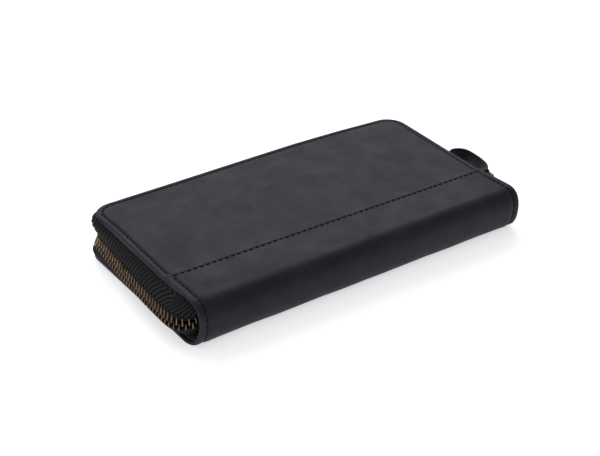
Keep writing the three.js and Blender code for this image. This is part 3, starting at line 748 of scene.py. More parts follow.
def cover_stitches(upper):
    surface = Surface()
    line = zip_side_line(GROOVE_INSET, np.linspace(SEAM_Y - 0.3, BACK_Y - CORNER_RADIUS, 44))
    flat = np.column_stack([line, np.full(len(line), GROOVE_HEIGHT - 0.12)])
    up = [0, 0, 1 if upper else -1]
    stitch_row(surface, place(flat, upper), up)
    settle_thread(surface, prefix(upper) + "_cover_stitches", body_name(upper), "cover_leather")


# ------------------------------------------------------------------ spine panel


def spine_reference():
    """The spine's outer line in Y and Z, from the upper seam round to the lower one."""
    turn = np.linspace(0, np.pi / 2, 60)
    upper_rise = top_face(SPINE_UPPER_Y) - SPINE_BELLY_Z
    upper_reach = BACK_Y + SPINE_UPPER_Y
    lower_reach = BACK_Y + SPINE_LOWER_Y
    lower_rise = SPINE_BELLY_Z - SPINE_FLAT_Z
    top_y = SEAM_Y + 0.5
    sine, cosine = np.sin(turn), np.cos(turn)
    upper = np.stack([SPINE_UPPER_Y - upper_reach * sine, SPINE_BELLY_Z + upper_rise * cosine], -1)
    full = np.stack([cosine, sine]) ** SPINE_FULLNESS
    lower = np.stack([SPINE_LOWER_Y - lower_reach * full[0], SPINE_BELLY_Z - lower_rise * full[1]], -1)
    return np.concatenate([[[top_y, top_face(top_y)]], upper, lower[1:], [[top_y, SPINE_FLAT_Z]]])


def spine_sections():
    """Distances along the spine's section, its points and its outward directions."""
    line = spine_reference()
    total = length_of(line)
    fine = np.array([p for p, _ in SEAM_PROFILE])
    middle = np.linspace(fine[-1], total - fine[-1], 76)[1:-1]
    places = np.concatenate([fine, middle, total - fine[::-1]])
    points = resample(line, places)
    ahead = resample(line, np.minimum(places + 0.8, total)) - resample(line, np.maximum(places - 0.8, 0))
    ahead /= np.linalg.norm(ahead, axis=1, keepdims=True)
    outward = np.stack([ahead[:, 1], -ahead[:, 0]], axis=-1)
    return places, total, points, outward


def seam_raise(places, total):
    """Raise of the folded edge at both seams; the lower one lies flatter on the table."""
    return along(SEAM_PROFILE, places) * (places < total / 2) + (
        0.3 * along(SEAM_PROFILE, total - places) * (places >= total / 2)
    )


def spine_leather():
    places, total, points, outward = spine_sections()
    raised = seam_raise(places, total)
    lap = np.minimum(places, total - places)
    edge_depth = 2.0 + 1.4 * smooth_step(20, 10, lap)
    inner = SPINE_THICKNESS + 0.35 * smooth_step(12, 20, lap)
    insets = np.array([p for p, _ in END_PROFILE])
    sinks = np.array([s for _, s in END_PROFILE])
    middle = np.linspace(-HALF_LENGTH + insets[-1], HALF_LENGTH - insets[-1], 92)[1:-1]
    across = np.concatenate([insets - HALF_LENGTH, middle, HALF_LENGTH - insets[::-1]])
    sink = np.concatenate([sinks, np.zeros(len(middle)), sinks[::-1]])
    fade = 1 - 0.75 * smooth_step(3.5, 0.5, HALF_LENGTH - np.abs(across))
    rim_insets = np.array([0.0, 0.06, 0.25, 0.6, 1.0, 1.35, 1.5])
    rows = []
    wears = []
    for k in range(len(places)):
        pinch = smooth_step(0, 0.3, lap[k])
        outer_depth = sink - raised[k] * fade
        rim_depth = edge_depth[k] - np.array([0.9, 0.5, 0.2, 0.03, 0.0, 0.1, 0.4])
        left_x = rim_insets - HALF_LENGTH
        depth = np.concatenate([outer_depth, rim_depth, [inner[k], inner[k]], rim_depth[::-1]])
        x = np.concatenate([across, -left_x, [HALF_LENGTH - 1.6, 1.6 - HALF_LENGTH], left_x[::-1]])
        fold = outer_depth.mean() + 0.35
        depth = fold + (depth - fold) * pinch
        yz = points[k] - outward[k] * depth[:, None]
        rows.append(np.column_stack([x, yz]))
        end_wear = np.interp(HALF_LENGTH - np.abs(across), [0, 0.3, 0.9, 1.6], [0.1, 0.4, 0.15, 0])
        seam_wear = np.interp(lap[k], [0, 0.3, 1.0, 2.0, 2.6], [0.1, 0.35, 0.25, 0.15, 0])
        inside = np.zeros(len(x) - len(across))
        wears.append(np.concatenate([np.maximum(end_wear, seam_wear), inside]))
    rows = np.array(rows)
    swell = 0.22 * ripple(rows, 21, 5.0) + 0.08 * ripple(rows, 8, 2.0)
    amount = swell * smooth_step(6, 16, lap)[:, None]
    amount[:, len(across):] = 0
    rows[..., 1] += outward[:, None, 0] * amount
    rows[..., 2] += outward[:, None, 1] * amount
    surface = Surface()
    surface.grid(rows, close_columns=True, wear_and_shade=np.array(wears))
    settle(surface, "spine_leather_skin", SPINE, "cover_leather", "spine_leather", sharp=60)


def spine_stitches():
    places, total, points, outward = spine_sections()
    surface = Surface()
    for place_along in (SEAM_STITCH_PLACE, total - SEAM_STITCH_PLACE):
        k = int(np.argmin(abs(places - place_along)))
        raised = seam_raise(places, total)[k]
        y, z = points[k] + outward[k] * (raised + 0.1)
        x = np.linspace(END_STITCH_INSET - HALF_LENGTH, HALF_LENGTH - END_STITCH_INSET, 60)
        line = np.column_stack([x, np.full(60, y), np.full(60, max(z, 0.4))])
        up = np.tile([0, *outward[k]], (60, 1))
        stitch_row(surface, line, up, radius=SEAM_THREAD_RADIUS, fill=SEAM_THREAD_FILL)
    inner = (places > SEAM_STITCH_PLACE) & (places < total - SEAM_STITCH_PLACE)
    for side in (-1, 1):
        yz = points[inner] - outward[inner] * 0.4
        x = np.full(len(yz), side * (HALF_LENGTH - END_STITCH_INSET))
        up = np.column_stack([np.zeros(len(yz)), outward[inner]])
        stitch_row(surface, np.column_stack([x, yz]), up)
    settle_thread(surface, "spine_stitches", SPINE, "cover_leather")


def spine_lining():
    """Twill inside the spine, from one end border to the other."""
    line = spine_reference()
    total = length_of(line)
    places = np.linspace(13.5, total - 13.5, 60)
    points = resample(line, places)
    ahead = frames_of(points)
    outward = np.stack([ahead[:, 1], -ahead[:, 0]], axis=-1)
    x = np.linspace(1.7 - HALF_LENGTH, HALF_LENGTH - 1.7, 90)
    rows = []
    for point, out in zip(points, outward):
        outer = np.column_stack([x, np.tile(point - out * 1.6, (len(x), 1))])
        inner = np.column_stack([x[::-1], np.tile(point - out * 2.1, (len(x), 1))])
        rows.append(np.concatenate([outer, inner]))
    rows = np.array(rows)
    wrinkle = 0.12 * ripple(rows, 6, 1.0)
    rows[..., 1] += wrinkle * outward[:, None, 0]
    rows[..., 2] += wrinkle * outward[:, None, 1]
    surface = Surface()
    surface.tube(rows)
    settle(surface, "spine_lining_cloth", SPINE, "lining_fabric", "spine_lining", sharp=60)


# ---------------------------------------------------------------- perimeter zip


def shares_of(steps):
    return np.linspace(0, 1, steps + 1)[:, None]


def straight(start, end, steps):
    share = shares_of(steps)
    return np.array(start) * (1 - share) + np.array(end) * share


def quadratic(start, pull, end, steps):
    share = shares_of(steps)
    rest = 1 - share
    return np.array(start) * rest**2 + 2 * np.array(pull) * share * rest + np.array(end) * share**2


def bezier(start, leave, arrive, end, share):
    """Points at a share of the way along curves that set off towards leave and come in from arrive."""
    rest = 1 - share
    return start * rest**3 + 3 * leave * rest**2 * share + 3 * arrive * rest * share**2 + end * share**3


def cubic(start, leave, arrive, end, steps):
    return bezier(*np.array([start, leave, arrive, end], float), shares_of(steps))


def quarter(x, y, radius, start, end, steps):
    turn = np.linspace(start, end, steps + 1)
    return np.stack([x + radius * np.cos(turn), y + radius * np.sin(turn)], axis=-1)


def zip_lines():
    """The chain's line and the line where the tape leaves the cover, point for point, left end to right."""
    base_x = HALF_LENGTH - TAPE_INSET
    radius = CORNER_RADIUS - TAPE_INSET
    corner_x = HALF_LENGTH - CORNER_RADIUS
    corner_y = BACK_Y - CORNER_RADIUS
    top, right = CHAIN_BACK_Y, CHAIN_RIGHT_X
    farthest = (CHAIN_BULGE_X, CHAIN_BULGE_Y)
    legs = [
        (quadratic((-93, -49), (CHAIN_BULGE_X, -49), farthest, 60),
         quadratic((-92.5, -45), (-base_x, -45), (-base_x, LEG_END_Y), 60)),
        (cubic(farthest, (CHAIN_BULGE_X, -20), (-104.6, 5), (CHAIN_LEFT_X, 42), 210),
         straight((-base_x, LEG_END_Y), (-base_x, corner_y), 210)),
        (quadratic((CHAIN_LEFT_X, 42), (CHAIN_LEFT_X + 0.4, top), (-87, top), 50),
         quarter(-corner_x, corner_y, radius, np.pi, np.pi / 2, 50)),
        (straight((-87, top), (88, top), 500),
         straight((-corner_x, corner_y + radius), (corner_x, corner_y + radius), 500)),
        (quadratic((88, top), (right, top), (right, LEG_START_Y), 55),
         quarter(corner_x, corner_y, radius, np.pi / 2, 0, 55)),
        (straight((right, LEG_START_Y), (right, LEG_END_Y), 218),
         straight((base_x, corner_y), (base_x, LEG_END_Y), 218)),
        (quadratic((right, LEG_END_Y), (right, -45), (93, -46), 48),
         quadratic((base_x, LEG_END_Y), (base_x, -45), (92.5, -45), 48)),
    ]
    chain = np.concatenate([leg[0][1 if k else 0:] for k, leg in enumerate(legs)])
    base = np.concatenate([leg[1][1 if k else 0:] for k, leg in enumerate(legs)])
    return chain, base


def tape_levels(base, upper):
    """Height where the tape leaves the cover, and the sign from there towards the chain."""
    if upper:
        return top_face(base[:, 1]) - 3.0, -1.0
    return np.full(len(base), 3.0), 1.0


def ribs(phase):
    """Height share of woven ribs, one for each whole number of the phase."""
    return smooth_step(0.2, 0.75, np.abs((phase % 1) * 2 - 1))


def zip_tape(upper):
    chain, base = zip_lines()
    out = outward_of(base)
    level, toward = tape_levels(base, upper)
    sign = 1.0 if upper else -1.0
    distance = distances_along(chain)
    stand_out = np.clip(((chain - base) * out).sum(-1, keepdims=True), 0, 9)
    start = np.column_stack([base, level - toward * 1.2])
    corner = hump(distance - TAPE_CORNER, TAPE_CORNER_REACH)[:, None] * (1 if upper else 0.4)
    leave = np.column_stack([
        base + out * (0.05 + 0.36 * stand_out + TAPE_CORNER_BULGE * corner),
        level + toward * (2.8 - 3.2 * corner[:, 0]),
    ])
    arrive_z = np.full(len(chain), CHAIN_Z + sign * (TAPE_EDGE + 2.6))
    arrive = np.column_stack([chain - out * 0.1 * stand_out, arrive_z])
    end = np.column_stack([chain, np.full(len(chain), CHAIN_Z + sign * (TAPE_EDGE - 0.5))])
    shares = np.concatenate([[0.0], np.linspace(0.06, 1, 30)])
    middle = np.stack([bezier(start, leave, arrive, end, share) for share in shares], axis=1)
    along_dir = np.gradient(middle, axis=0)
    across_dir = np.gradient(middle, axis=1)
    normal = np.cross(along_dir, across_dir)
    normal /= np.linalg.norm(normal, axis=-1, keepdims=True)
    facing = np.sign((normal[..., :2] * out[:, None]).sum(-1, keepdims=True))
    normal *= np.where(facing == 0, 1, facing)
    steps = np.linalg.norm(np.diff(middle, axis=1), axis=-1)
    across = np.concatenate([np.zeros((len(chain), 1)), np.cumsum(steps, axis=1)], axis=1)
    vertex = CHEVRON_SHARE * across[:, -1:]
    phase = (distance[:, None] - RIB_SLOPE * np.abs(across - vertex)) / RIB_PITCH
    rib = ribs(phase)
    visible = smooth_step(0.0, 0.08, shares) * smooth_step(1.0, 0.95, shares)
    height = RIB_HEIGHT * rib * (0.5 + 0.5 * smooth_step(0.0, 0.4, np.abs(across - vertex))) * visible
    half = TAPE_THICKNESS / 2
    front = middle + normal * (half - 0.1 + height)[..., None]
    back = middle - normal * half
    rows = np.concatenate([front, back[:, ::-1]], axis=1)
    # Rib tops get the tape's light colour; gaps, both edges and the back get its dark one: painted shade.
    wear_and_shade = np.concatenate([rib * visible[None, :], np.zeros_like(rib)], axis=1)
    surface = Surface()
    surface.tube(rows, wear_and_shade=wear_and_shade)
    half_name = half_word(upper)
    settle(surface, half_name + "_zip_tape_cloth",
           body_name(upper), "zip_tape", half_name + "_zip_tape", sharp=50, merge=0.0005)


def tooth_wear_and_shade(upper):
    """How bright a tooth is rubbed, with painted shade on the lower row's heads, which lie in behind the upper
    row's.
    """
    wear_and_shade = UPPER_TOOTH_WEAR if upper else LOWER_TOOTH_WEAR_AND_SHADE
    return np.repeat(wear_and_shade[:, None], len(ROUND_SQUARE), axis=1)


def zip_teeth(upper):
    chain, _ = zip_lines()
    total = length_of(chain)
    out = outward_of(chain)
    distances = distances_along(chain)
    start = 4 + (TOOTH_PITCH / 2 if upper else 0)
    stop = total - 15
    places = np.arange(start, stop, TOOTH_PITCH)
    centres = resample(chain, places)
    outs = np.stack([np.interp(places, distances, out[:, k]) for k in (0, 1)], axis=-1)
    sign = 1.0 if upper else -1.0
    along_chain, across, height = np.split(TOOTH, 3, axis=-1)
    surface = Surface()
    for centre, side in zip(centres, outs):
        side = side / np.linalg.norm(side)
        ahead = np.array([side[1], -side[0]])
        xy = centre + ahead * (TOOTH_LEAN * sign * height - along_chain) + side * across
        surface.tube(np.concatenate([xy, CHAIN_Z + sign * height], axis=-1), wear_and_shade=tooth_wear_and_shade(upper))
    half_name = half_word(upper)
    settle(surface, half_name + "_zip_teeth_metal",
           body_name(upper), "zip_teeth", half_name + "_zip_teeth", sharp=50)


def tape_bead(upper):
    """The cord woven into the tape's edge, which the teeth grip."""
    chain, _ = zip_lines()
    out = outward_of(chain)
    sign = 1.0 if upper else -1.0
    aside, high = 0.72 * squircle(8, 1)
    rings = []
    for point, side in zip(chain[::3], out[::3]):
        rings.append(np.column_stack([point + aside[:, None] * side, CHAIN_Z + sign * (2.5 + high)]))
    surface = Surface()
    surface.tube(rings)
    half_name = half_word(upper)
    settle(surface, half_name + "_tape_bead", body_name(upper), "zip_tape", sharp=60)


# ----------------------------------------------------- blocks, plates and sweeps


def block(surface, centre, half, bevel, turn=0.0):
    """A box with cut edges; turn is its angle about Z."""
    half_long, half_wide, half_tall = half
    ahead = np.array([math.cos(turn), math.sin(turn), 0])
    aside = np.array([-math.sin(turn), math.cos(turn), 0])
    up = np.array([0, 0, 1])
    rings = []
    full = half_long - bevel
    for reach, inset in ((-half_long, bevel), (-full, 0), (full, 0), (half_long, bevel)):
        u, v = half_wide - inset, half_tall - inset
        corners = [(u, v - bevel), (u - bevel, v), (bevel - u, v), (-u, v - bevel),
                   (-u, bevel - v), (bevel - u, -v), (u - bevel, -v), (u, bevel - v)]
        rings.append([np.array(centre) + reach * ahead + side * aside + rise * up for side, rise in corners])
    surface.tube(rings, wear_and_shade=BLOCK_WEAR)


def standing_plate(surface, outline, levels, wear_and_shade):
    """A plate whose outline is in Y and Z; each level is its x and how far it is drawn in."""
    centre = outline.mean(axis=0)
    offset = outline - centre
    reach = np.linalg.norm(offset, axis=1, keepdims=True)
    rings = []
    for x, inset in levels:
        rings.append(np.column_stack([np.full(len(outline), x), centre + offset * (1 - inset / reach)]))
    surface.tube(rings, wear_and_shade=np.repeat(np.array(wear_and_shade)[:, None], len(outline), axis=1))


def sweep(surface, path, section, wear_and_shade, up=(0, 0, 1), closed=False, heights=None):
    """Carries a section (across, up) along a path."""
    path = np.asarray(path, float)
    if closed:
        step = np.roll(path, -1, axis=0) - np.roll(path, 1, axis=0)
        ahead = step / np.linalg.norm(step, axis=1, keepdims=True)
    else:
        ahead = frames_of(path)
    up = np.asarray(up, float)
    across = np.cross(ahead, up)
    across /= np.linalg.norm(across, axis=1, keepdims=True)
    section = np.asarray(section, float)
    tall = np.ones(len(path)) if heights is None else heights
    raised = up * tall[:, None]
    rings = path[:, None] + section[None, :, :1] * across[:, None] + section[None, :, 1:] * raised[:, None]
    wear_and_shade = np.broadcast_to(wear_and_shade, rings.shape[:2])
    if closed:
        surface.grid(rings, close_rows=True, close_columns=True, wear_and_shade=wear_and_shade)
    else:
        surface.tube(rings, wear_and_shade=wear_and_shade)


# ------------------------------------------------ slider, ring and leather pull


def zip_slider():
    surface = Surface()
    across, high = squircle(40, 0.6)
    y = SLIDER_Y + SLIDER_HALF[0] * across
    taper = 0.9 - 0.1 * across - 0.08 * across**2
    outline = np.column_stack([y, CHAIN_Z + SLIDER_HALF[1] * high * (taper + 0.05)])
    x = CHAIN_RIGHT_X
    face = [(x + 1.5, 0.3), (x + 1.62, 0), (x + 2.3, 0), (x + 2.65, 0.15), (x + 2.85, 0.5),
            (x + 2.92, 1.1), (x + 2.9, 2.0)]
    standing_plate(surface, outline, face, [0.3, 0.5, 0.7, 1.0, 0.9, 0.6, 0.5])
    back = [(x - 1.5, 0.3), (x - 1.62, 0), (x - 2.4, 0), (x - 2.75, 0.3), (x - 2.88, 0.9)]
    standing_plate(surface, outline, back, [0.3, 0.4, 0.5, 0.7, 0.5])
    for side in (-1, 1):
        for front in (-1, 1):
            block(surface, (x + front * 1.25, SLIDER_Y, CHAIN_Z + side * 3.75), (0.55, 4.2, 0.42), 0.12)
    block(surface, (x, SLIDER_Y - 4.1, CHAIN_Z), (1.9, 0.6, 0.3), 0.1)
    settle(surface, "zip_slider_shell",
           "zip_slider", "zip_hardware", "zip_slider_body", sharp=35, soft=False)

    crown = Surface()
    turn = np.linspace(0, np.pi, 33)
    rise = 4.0 * np.sin(turn) ** 0.55
    reach = 4.2 * signed_power(np.cos(turn), 0.7)
    path = np.column_stack([x + 2.95 + rise, SLIDER_Y - reach, np.full(33, CHAIN_Z)])
    u, v = squircle(16, 0.5)
    sweep(crown, path, np.column_stack([0.48 * u, 1.3 * v]), wear_and_shade=0.75)
    settle(crown, "zip_slider_bridge",
           "zip_slider", "zip_hardware", "zip_slider_crown", sharp=45, soft=False)


def turned(points, angle, origin):
    """Points of a pull's own frame, turned about Z and set at its pivot."""
    points = np.asarray(points, float)
    cosine, sine = math.cos(angle), math.sin(angle)
    x, y = points[..., 0], points[..., 1]
    return np.stack([cosine * x - sine * y, sine * x + cosine * y, points[..., 2]], axis=-1) + origin


def pull_ring():
    corner_y, corner_z = RING_LENGTH / 2 - RING_CORNER, RING_HALF_WIDTH - RING_CORNER
    quarter_turn = quarter(corner_y, corner_z, RING_CORNER, 0, np.pi / 2, 8)
    half = np.concatenate([quarter_turn, quarter_turn[::-1] * [-1, 1]])
    outline = np.concatenate([half, half[::-1] * [1, -1]])
    path = np.column_stack([np.zeros(len(outline)), outline[:, 0] + RING_LENGTH / 2, outline[:, 1]])
    section = RING_WIRE * squircle(12, 1).T
    surface = Surface()
    sweep(surface, path, section, up=(1, 0, 0), closed=True, wear_and_shade=0.8)
    surface.points = turned(surface.points, RING_ANGLE, RING_PIVOT).tolist()
    settle(surface, "pull_ring_wire", "pull_ring", "zip_hardware", "pull_ring", sharp=60, soft=False)


def strap_line():
    """Middle of the strap, from the eye round the ring's bar, up the neck and about the loop."""
    turn = np.linspace(-np.pi / 2, np.pi * 0.12, 9)
    eye = 1.72 * np.stack([np.cos(turn), np.sin(turn)], axis=-1)
    neck = np.array([[1.2, 1.7], [0.92, 2.7], [0.84, 4.0], [0.82, 5.2]])
    side = cubic((0.86, 5.3), (4.3, 6.2), (7.3, 11.0), (6.6, 26), 26)
    top = cubic((6.6, 26), (6.3, 36.8), (-6.5, 36.8), (-6.6, 26), 30)
    half = np.concatenate([eye, neck, side, top[1:16]])
    inner_half = half[1:-1][::-1] * [-LOOP_INNER_SHARE, 1]
    return np.concatenate([half, inner_half])


def pull_loop():
    line = strap_line()
    path = np.column_stack([line, np.zeros(len(line))])
    height = STRAP_HEIGHT / 2 * along([(0, 0.7), (2.5, 0.8), (6, 0.95), (9, 1.0), (40, 1.0)], line[:, 1])
    u, v = squircle(28, 0.42)
    section = np.column_stack([STRAP_THICKNESS / 2 * u, v])
    surface = Surface()
    sweep(surface, path, section, closed=True, wear_and_shade=0.75 * smooth_step(0.8, 0.97, np.abs(v)), heights=height)
    points = np.array(surface.points)
    points[:, 0] += 0.06 * ripple(points, 5, 4.0)
    surface.points = turned(points, LOOP_ANGLE, LOOP_PIVOT).tolist()
    settle(surface, "pull_loop_strap", "pull_loop", "pull_leather", "pull_loop", sharp=60, soft=False)

    threads = Surface()
    for side in (-1, 1):
        for height in (-1.5, 1.5):
            row = np.array([[side * 1.62, y, height] for y in (1.8, 3.2)])
            stitch_row(threads, row, (side, 0, 0), pitch=1.4, radius=0.2)
    across, high = squircle(36, 0.45)
    path = np.column_stack([2.15 * across, np.full(36, 4.6), 4.2 * high])
    surface = Surface()
    u, v = squircle(16, 0.45)
    sweep(surface, path, np.column_stack([0.45 * u, 1.5 * v]), up=(0, 1, 0), closed=True, wear_and_shade=0.25)
    for made in (threads, surface):
        made.points = turned(made.points, LOOP_ANGLE, LOOP_PIVOT).tolist()
    settle(threads, "pull_neck_stitches",
           "pull_loop", "pull_leather", material="thread", sharp=60, soft=False)
    settle(surface, "pull_keeper_band", "pull_loop", "pull_leather", "pull_keeper", sharp=60, soft=False)


def zip_stops():
    chain, _ = zip_lines()
    point = resample(chain, [2.0])[0]
    angle = math.atan2(*(resample(chain, [3.0])[0] - point)[::-1])
    surface = Surface()
    block(surface, (*point, CHAIN_Z), (1.2, 1.2, 2.9), 0.35, angle)
    settle(surface, "zip_bottom_stop_crimp", "root", "zip_teeth", "zip_bottom_stop", material="zip_hardware")
    for upper in (False, True):
        half_name = half_word(upper)
        low, high = box_mm(half_name + "_top_stop")
        surface = Surface()
        block(surface, (low + high) / 2, (high - low) / 2, 0.3)
        settle(surface, half_name + "_top_stop_crimp",
               body_name(upper), "zip_teeth", half_name + "_top_stop", material="zip_hardware")


# --------------------------------------------------------------- inside the covers


def spaced(low, high, step, seams=()):
    """Places from low to high, close together at both ends and at the seams."""
    middle = np.arange(low + 2 + step / 2, high - 2, step)
    near = [seam + NEAR_SEAM for seam in seams]
    return np.unique(np.round(np.concatenate([low + NEAR_EDGE, middle, high - NEAR_EDGE, *near]), 3))


def panel_grid(half_width, low_y, high_y, step, seams_x=(), seams_y=()):
    """X and Y over a rectangular panel, and each point's distance from the nearest edge."""
    x, y = np.meshgrid(spaced(-half_width, half_width, step, seams_x), spaced(low_y, high_y, step, seams_y))
    edge = np.minimum(half_width - np.abs(x), np.minimum(y - low_y, high_y - y))
    return x, y, edge


def sheet(surface, x, y, low, high, edge, into_place, wear_and_shade=0.0):
    """A thin panel with rounded edges, between two heights."""
    near = np.clip(edge / EDGE_ROUNDING, 0, 1)
    half = (high - low) / 2 * np.sqrt(1 - (1 - near) ** 2)
    middle = (low + high) / 2
    for z in (middle + half, middle - half):
        surface.grid(into_place(np.stack([x, y, z], axis=-1)), wear_and_shade=wear_and_shade)


def groove(distance):
    """Depth of the furrow a row of stitches pulls into leather."""
    return 0.15 * hump(distance, 0.45)


def turned_fold(mouth):
    """Raise of leather turned in at a pocket's mouth."""
    return 0.1 * hump(mouth - 0.9, 0.7)


def rounded_width(y, inset, spine_width):
    """Half width of a panel that follows the cover's back corners and is narrower near the spine."""
    radius = CORNER_RADIUS - inset
    beyond = np.maximum(y - (BACK_Y - CORNER_RADIUS), 0)
    width = HALF_LENGTH - CORNER_RADIUS + np.sqrt(np.maximum(radius**2 - beyond**2, 0))
    narrow = smooth_step(NOTCH_Y + 0.5, NOTCH_Y - 0.5, y)
    return width + (np.minimum(width, spine_width) - width) * narrow


def inner_panel(upper, name, node, slot, inset, spine_y, levels, spine_width, swell):
    """The lining or the board: a panel with the cover's outline, drawn in."""
    surface = Surface()
    corner = BACK_Y - CORNER_RADIUS + (CORNER_RADIUS - inset) * np.sin(np.linspace(0, np.pi / 2, 18))
    rows = np.unique(np.concatenate([spaced(spine_y, BACK_Y - inset, 2.6, (NOTCH_Y,)), corner]))
    columns = spaced(-HALF_LENGTH, HALF_LENGTH, 3.0)
    width = rounded_width(rows, inset, spine_width)[:, None]
    x = columns * width / HALF_LENGTH
    y = np.repeat(rows[:, None], len(columns), axis=1)
    edge = np.minimum(width - np.abs(x), np.minimum(y - spine_y, BACK_Y - inset - y))
    flat = np.stack([x, y, np.zeros_like(x)], axis=-1)
    raised = swell * (ripple(flat, 17, 2.0) + 0.5 * ripple(flat, 6, 9.0)) * smooth_step(0, 3, edge)
    furrow = groove(edge - LINING_STITCH_INSET) if swell else 0
    sheet(surface, x, y, np.full_like(x, levels[0]), levels[1] + raised - furrow, edge,
          lambda points: place(points, upper))
    settle(surface, prefix(upper) + name, body_name(upper), slot, prefix(upper) + node, sharp=60)


def lining_stitches(upper):
    surface = Surface()
    side_places = np.linspace(NOTCH_Y + 1, BACK_Y - CORNER_RADIUS, 44)
    line = zip_side_line(LINING_INSET + LINING_STITCH_INSET, side_places)
    raised = np.column_stack([line, np.full(len(line), LINING_LEVELS[1])])
    stitch_row(surface, place(raised, upper), (0, 0, -1 if upper else 1), radius=INNER_THREAD_RADIUS)
    settle_thread(surface, prefix(upper) + "_lining_stitches", body_name(upper), "lining_fabric")


def slip_panel(upper):
    surface = Surface()
    x, y, edge = panel_grid(STACK_HALF_LENGTH, STACK_SPINE_Y, STACK_MOUTH_Y, 3.0, (), (STACK_MOUTH_Y - 1.3,))
    mouth = STACK_MOUTH_Y - y
    low = np.full_like(x, SLIP_LEVELS[0])
    fold = 0.06 * hump(mouth - 0.6, 0.5)
    sheet(surface, x, y, low, SLIP_LEVELS[1] + fold - 0.5 * groove(mouth - 1.3), edge,
          lambda points: place(points, upper))
    settle(surface, prefix(upper) + "_slip_panel_cloth",
           body_name(upper), "lining_fabric", prefix(upper) + "_slip_panel", sharp=60)


def pocket_mouth(row):
    return STACK_MOUTH_Y - 2 - row * POCKET_STAGGER


def pocket_levels(row, x, y):
    """Heights of a card pocket's two faces: a turned mouth that gapes a little between its stitches."""
    mouth = pocket_mouth(row) - y
    low = POCKET_BASE + row * POCKET_PITCH
    inside = np.abs(x) < POCKET_SIDE_STITCH
    bow = np.abs(np.sin(np.pi * x / POCKET_SIDE_STITCH)) ** 0.7 * inside
    gape = POCKET_GAPE * smooth_step(9, 0, mouth) * bow
    fold = turned_fold(mouth)
    flat = np.stack([x, y, np.full_like(x, 5.0 * row)], axis=-1)
    swell = 0.05 * ripple(flat, 11, 4.0) * smooth_step(0, 2, mouth)
    furrows = groove(mouth - MOUTH_STITCH) + groove(x) + groove(np.abs(x) - POCKET_SIDE_STITCH)
    return low + gape, low + POCKET_THICKNESS + gape + fold + swell - furrows


def card_pocket(upper, row):
    surface = Surface()
    mouth = pocket_mouth(row)
    seams = (-POCKET_SIDE_STITCH, 0, POCKET_SIDE_STITCH)
    x, y, edge = panel_grid(STACK_HALF_LENGTH, STACK_SPINE_Y, mouth, 2.4, seams, (mouth - MOUTH_STITCH,))
    low, high = pocket_levels(row, x, y)
    wear_and_shade = 0.5 * hump(mouth - y - 0.2, 0.4) + 0.25 * hump(edge, 0.4)
    sheet(surface, x, y, low, high, edge, lambda points: place(points, upper), wear_and_shade=wear_and_shade)
    name = f"{prefix(upper)}_card_pocket_{row + 1}"
    settle(surface, name + "_leather", body_name(upper), "pocket_leather", name, sharp=60)


def pocket_stitches(upper):
    surface = Surface()
    up = (0, 0, -1 if upper else 1)
    for row in range(POCKET_COUNT):
        mouth = pocket_mouth(row)
        bottom = mouth - POCKET_STAGGER if row < POCKET_COUNT - 1 else STACK_SPINE_Y + 1
        across = np.linspace(-POCKET_SIDE_STITCH, POCKET_SIDE_STITCH, 120)
        down = np.linspace(bottom + 0.4, mouth - 0.4, 24)
        lines = [(across, np.full(120, mouth - MOUTH_STITCH))]
        lines += [(np.full(24, x), down) for x in (-POCKET_SIDE_STITCH, 0.0, POCKET_SIDE_STITCH)]
        for x, y in lines:
            height = pocket_levels(row, x, y)[1] + 0.1
            line = place(np.column_stack([x, y, height]), upper)
            stitch_row(surface, line, up, INNER_PITCH, INNER_THREAD_RADIUS)
    settle_thread(surface, prefix(upper) + "_pocket_stitches", body_name(upper), "pocket_leather")


# -------------------------------------------------------------------- coin pocket


def on_leaf(points, upper=True):
    """Coin pocket coordinates (z outward from its middle plane) to the wallet's own."""
    return leaned(np.array(points, float) * [1, 1, 1 if upper else -1], TILT / 2) + [0, 0, top_face(0) / 2]


def set_on_leaf(surface, x, y):
    """Places a small part, drawn with its first axis out of the pocket's mouth, on the coin zip."""
    points = np.array(surface.points)
    surface.points = on_leaf(np.stack([x + points[:, 1], y + points[:, 0], points[:, 2]], axis=-1)).tolist()


def coin_levels(x, y):
    """Heights of a coin pocket wall's two faces: edges turned in to the other wall, a soft middle."""
    side = np.minimum(STACK_HALF_LENGTH - np.abs(x), y - LEAF_SPINE_Y)
    mouth = LEAF_MOUTH_Y - y
    rise = np.sin(np.pi / 2 * np.clip(side / 2.6, 0, 1))
    flat = np.stack([x, y, np.zeros_like(x)], axis=-1)
    puff = smooth_step(6, 34, side) * (0.22 + 0.12 * ripple(flat, 19, 6.0))
    fold = turned_fold(mouth)
    furrows = groove(mouth - MOUTH_STITCH) + groove(side - COIN_EDGE_STITCH)
    return 0.08 + 0.92 * rise + puff, 0.5 + 1.3 * rise + puff + fold - furrows


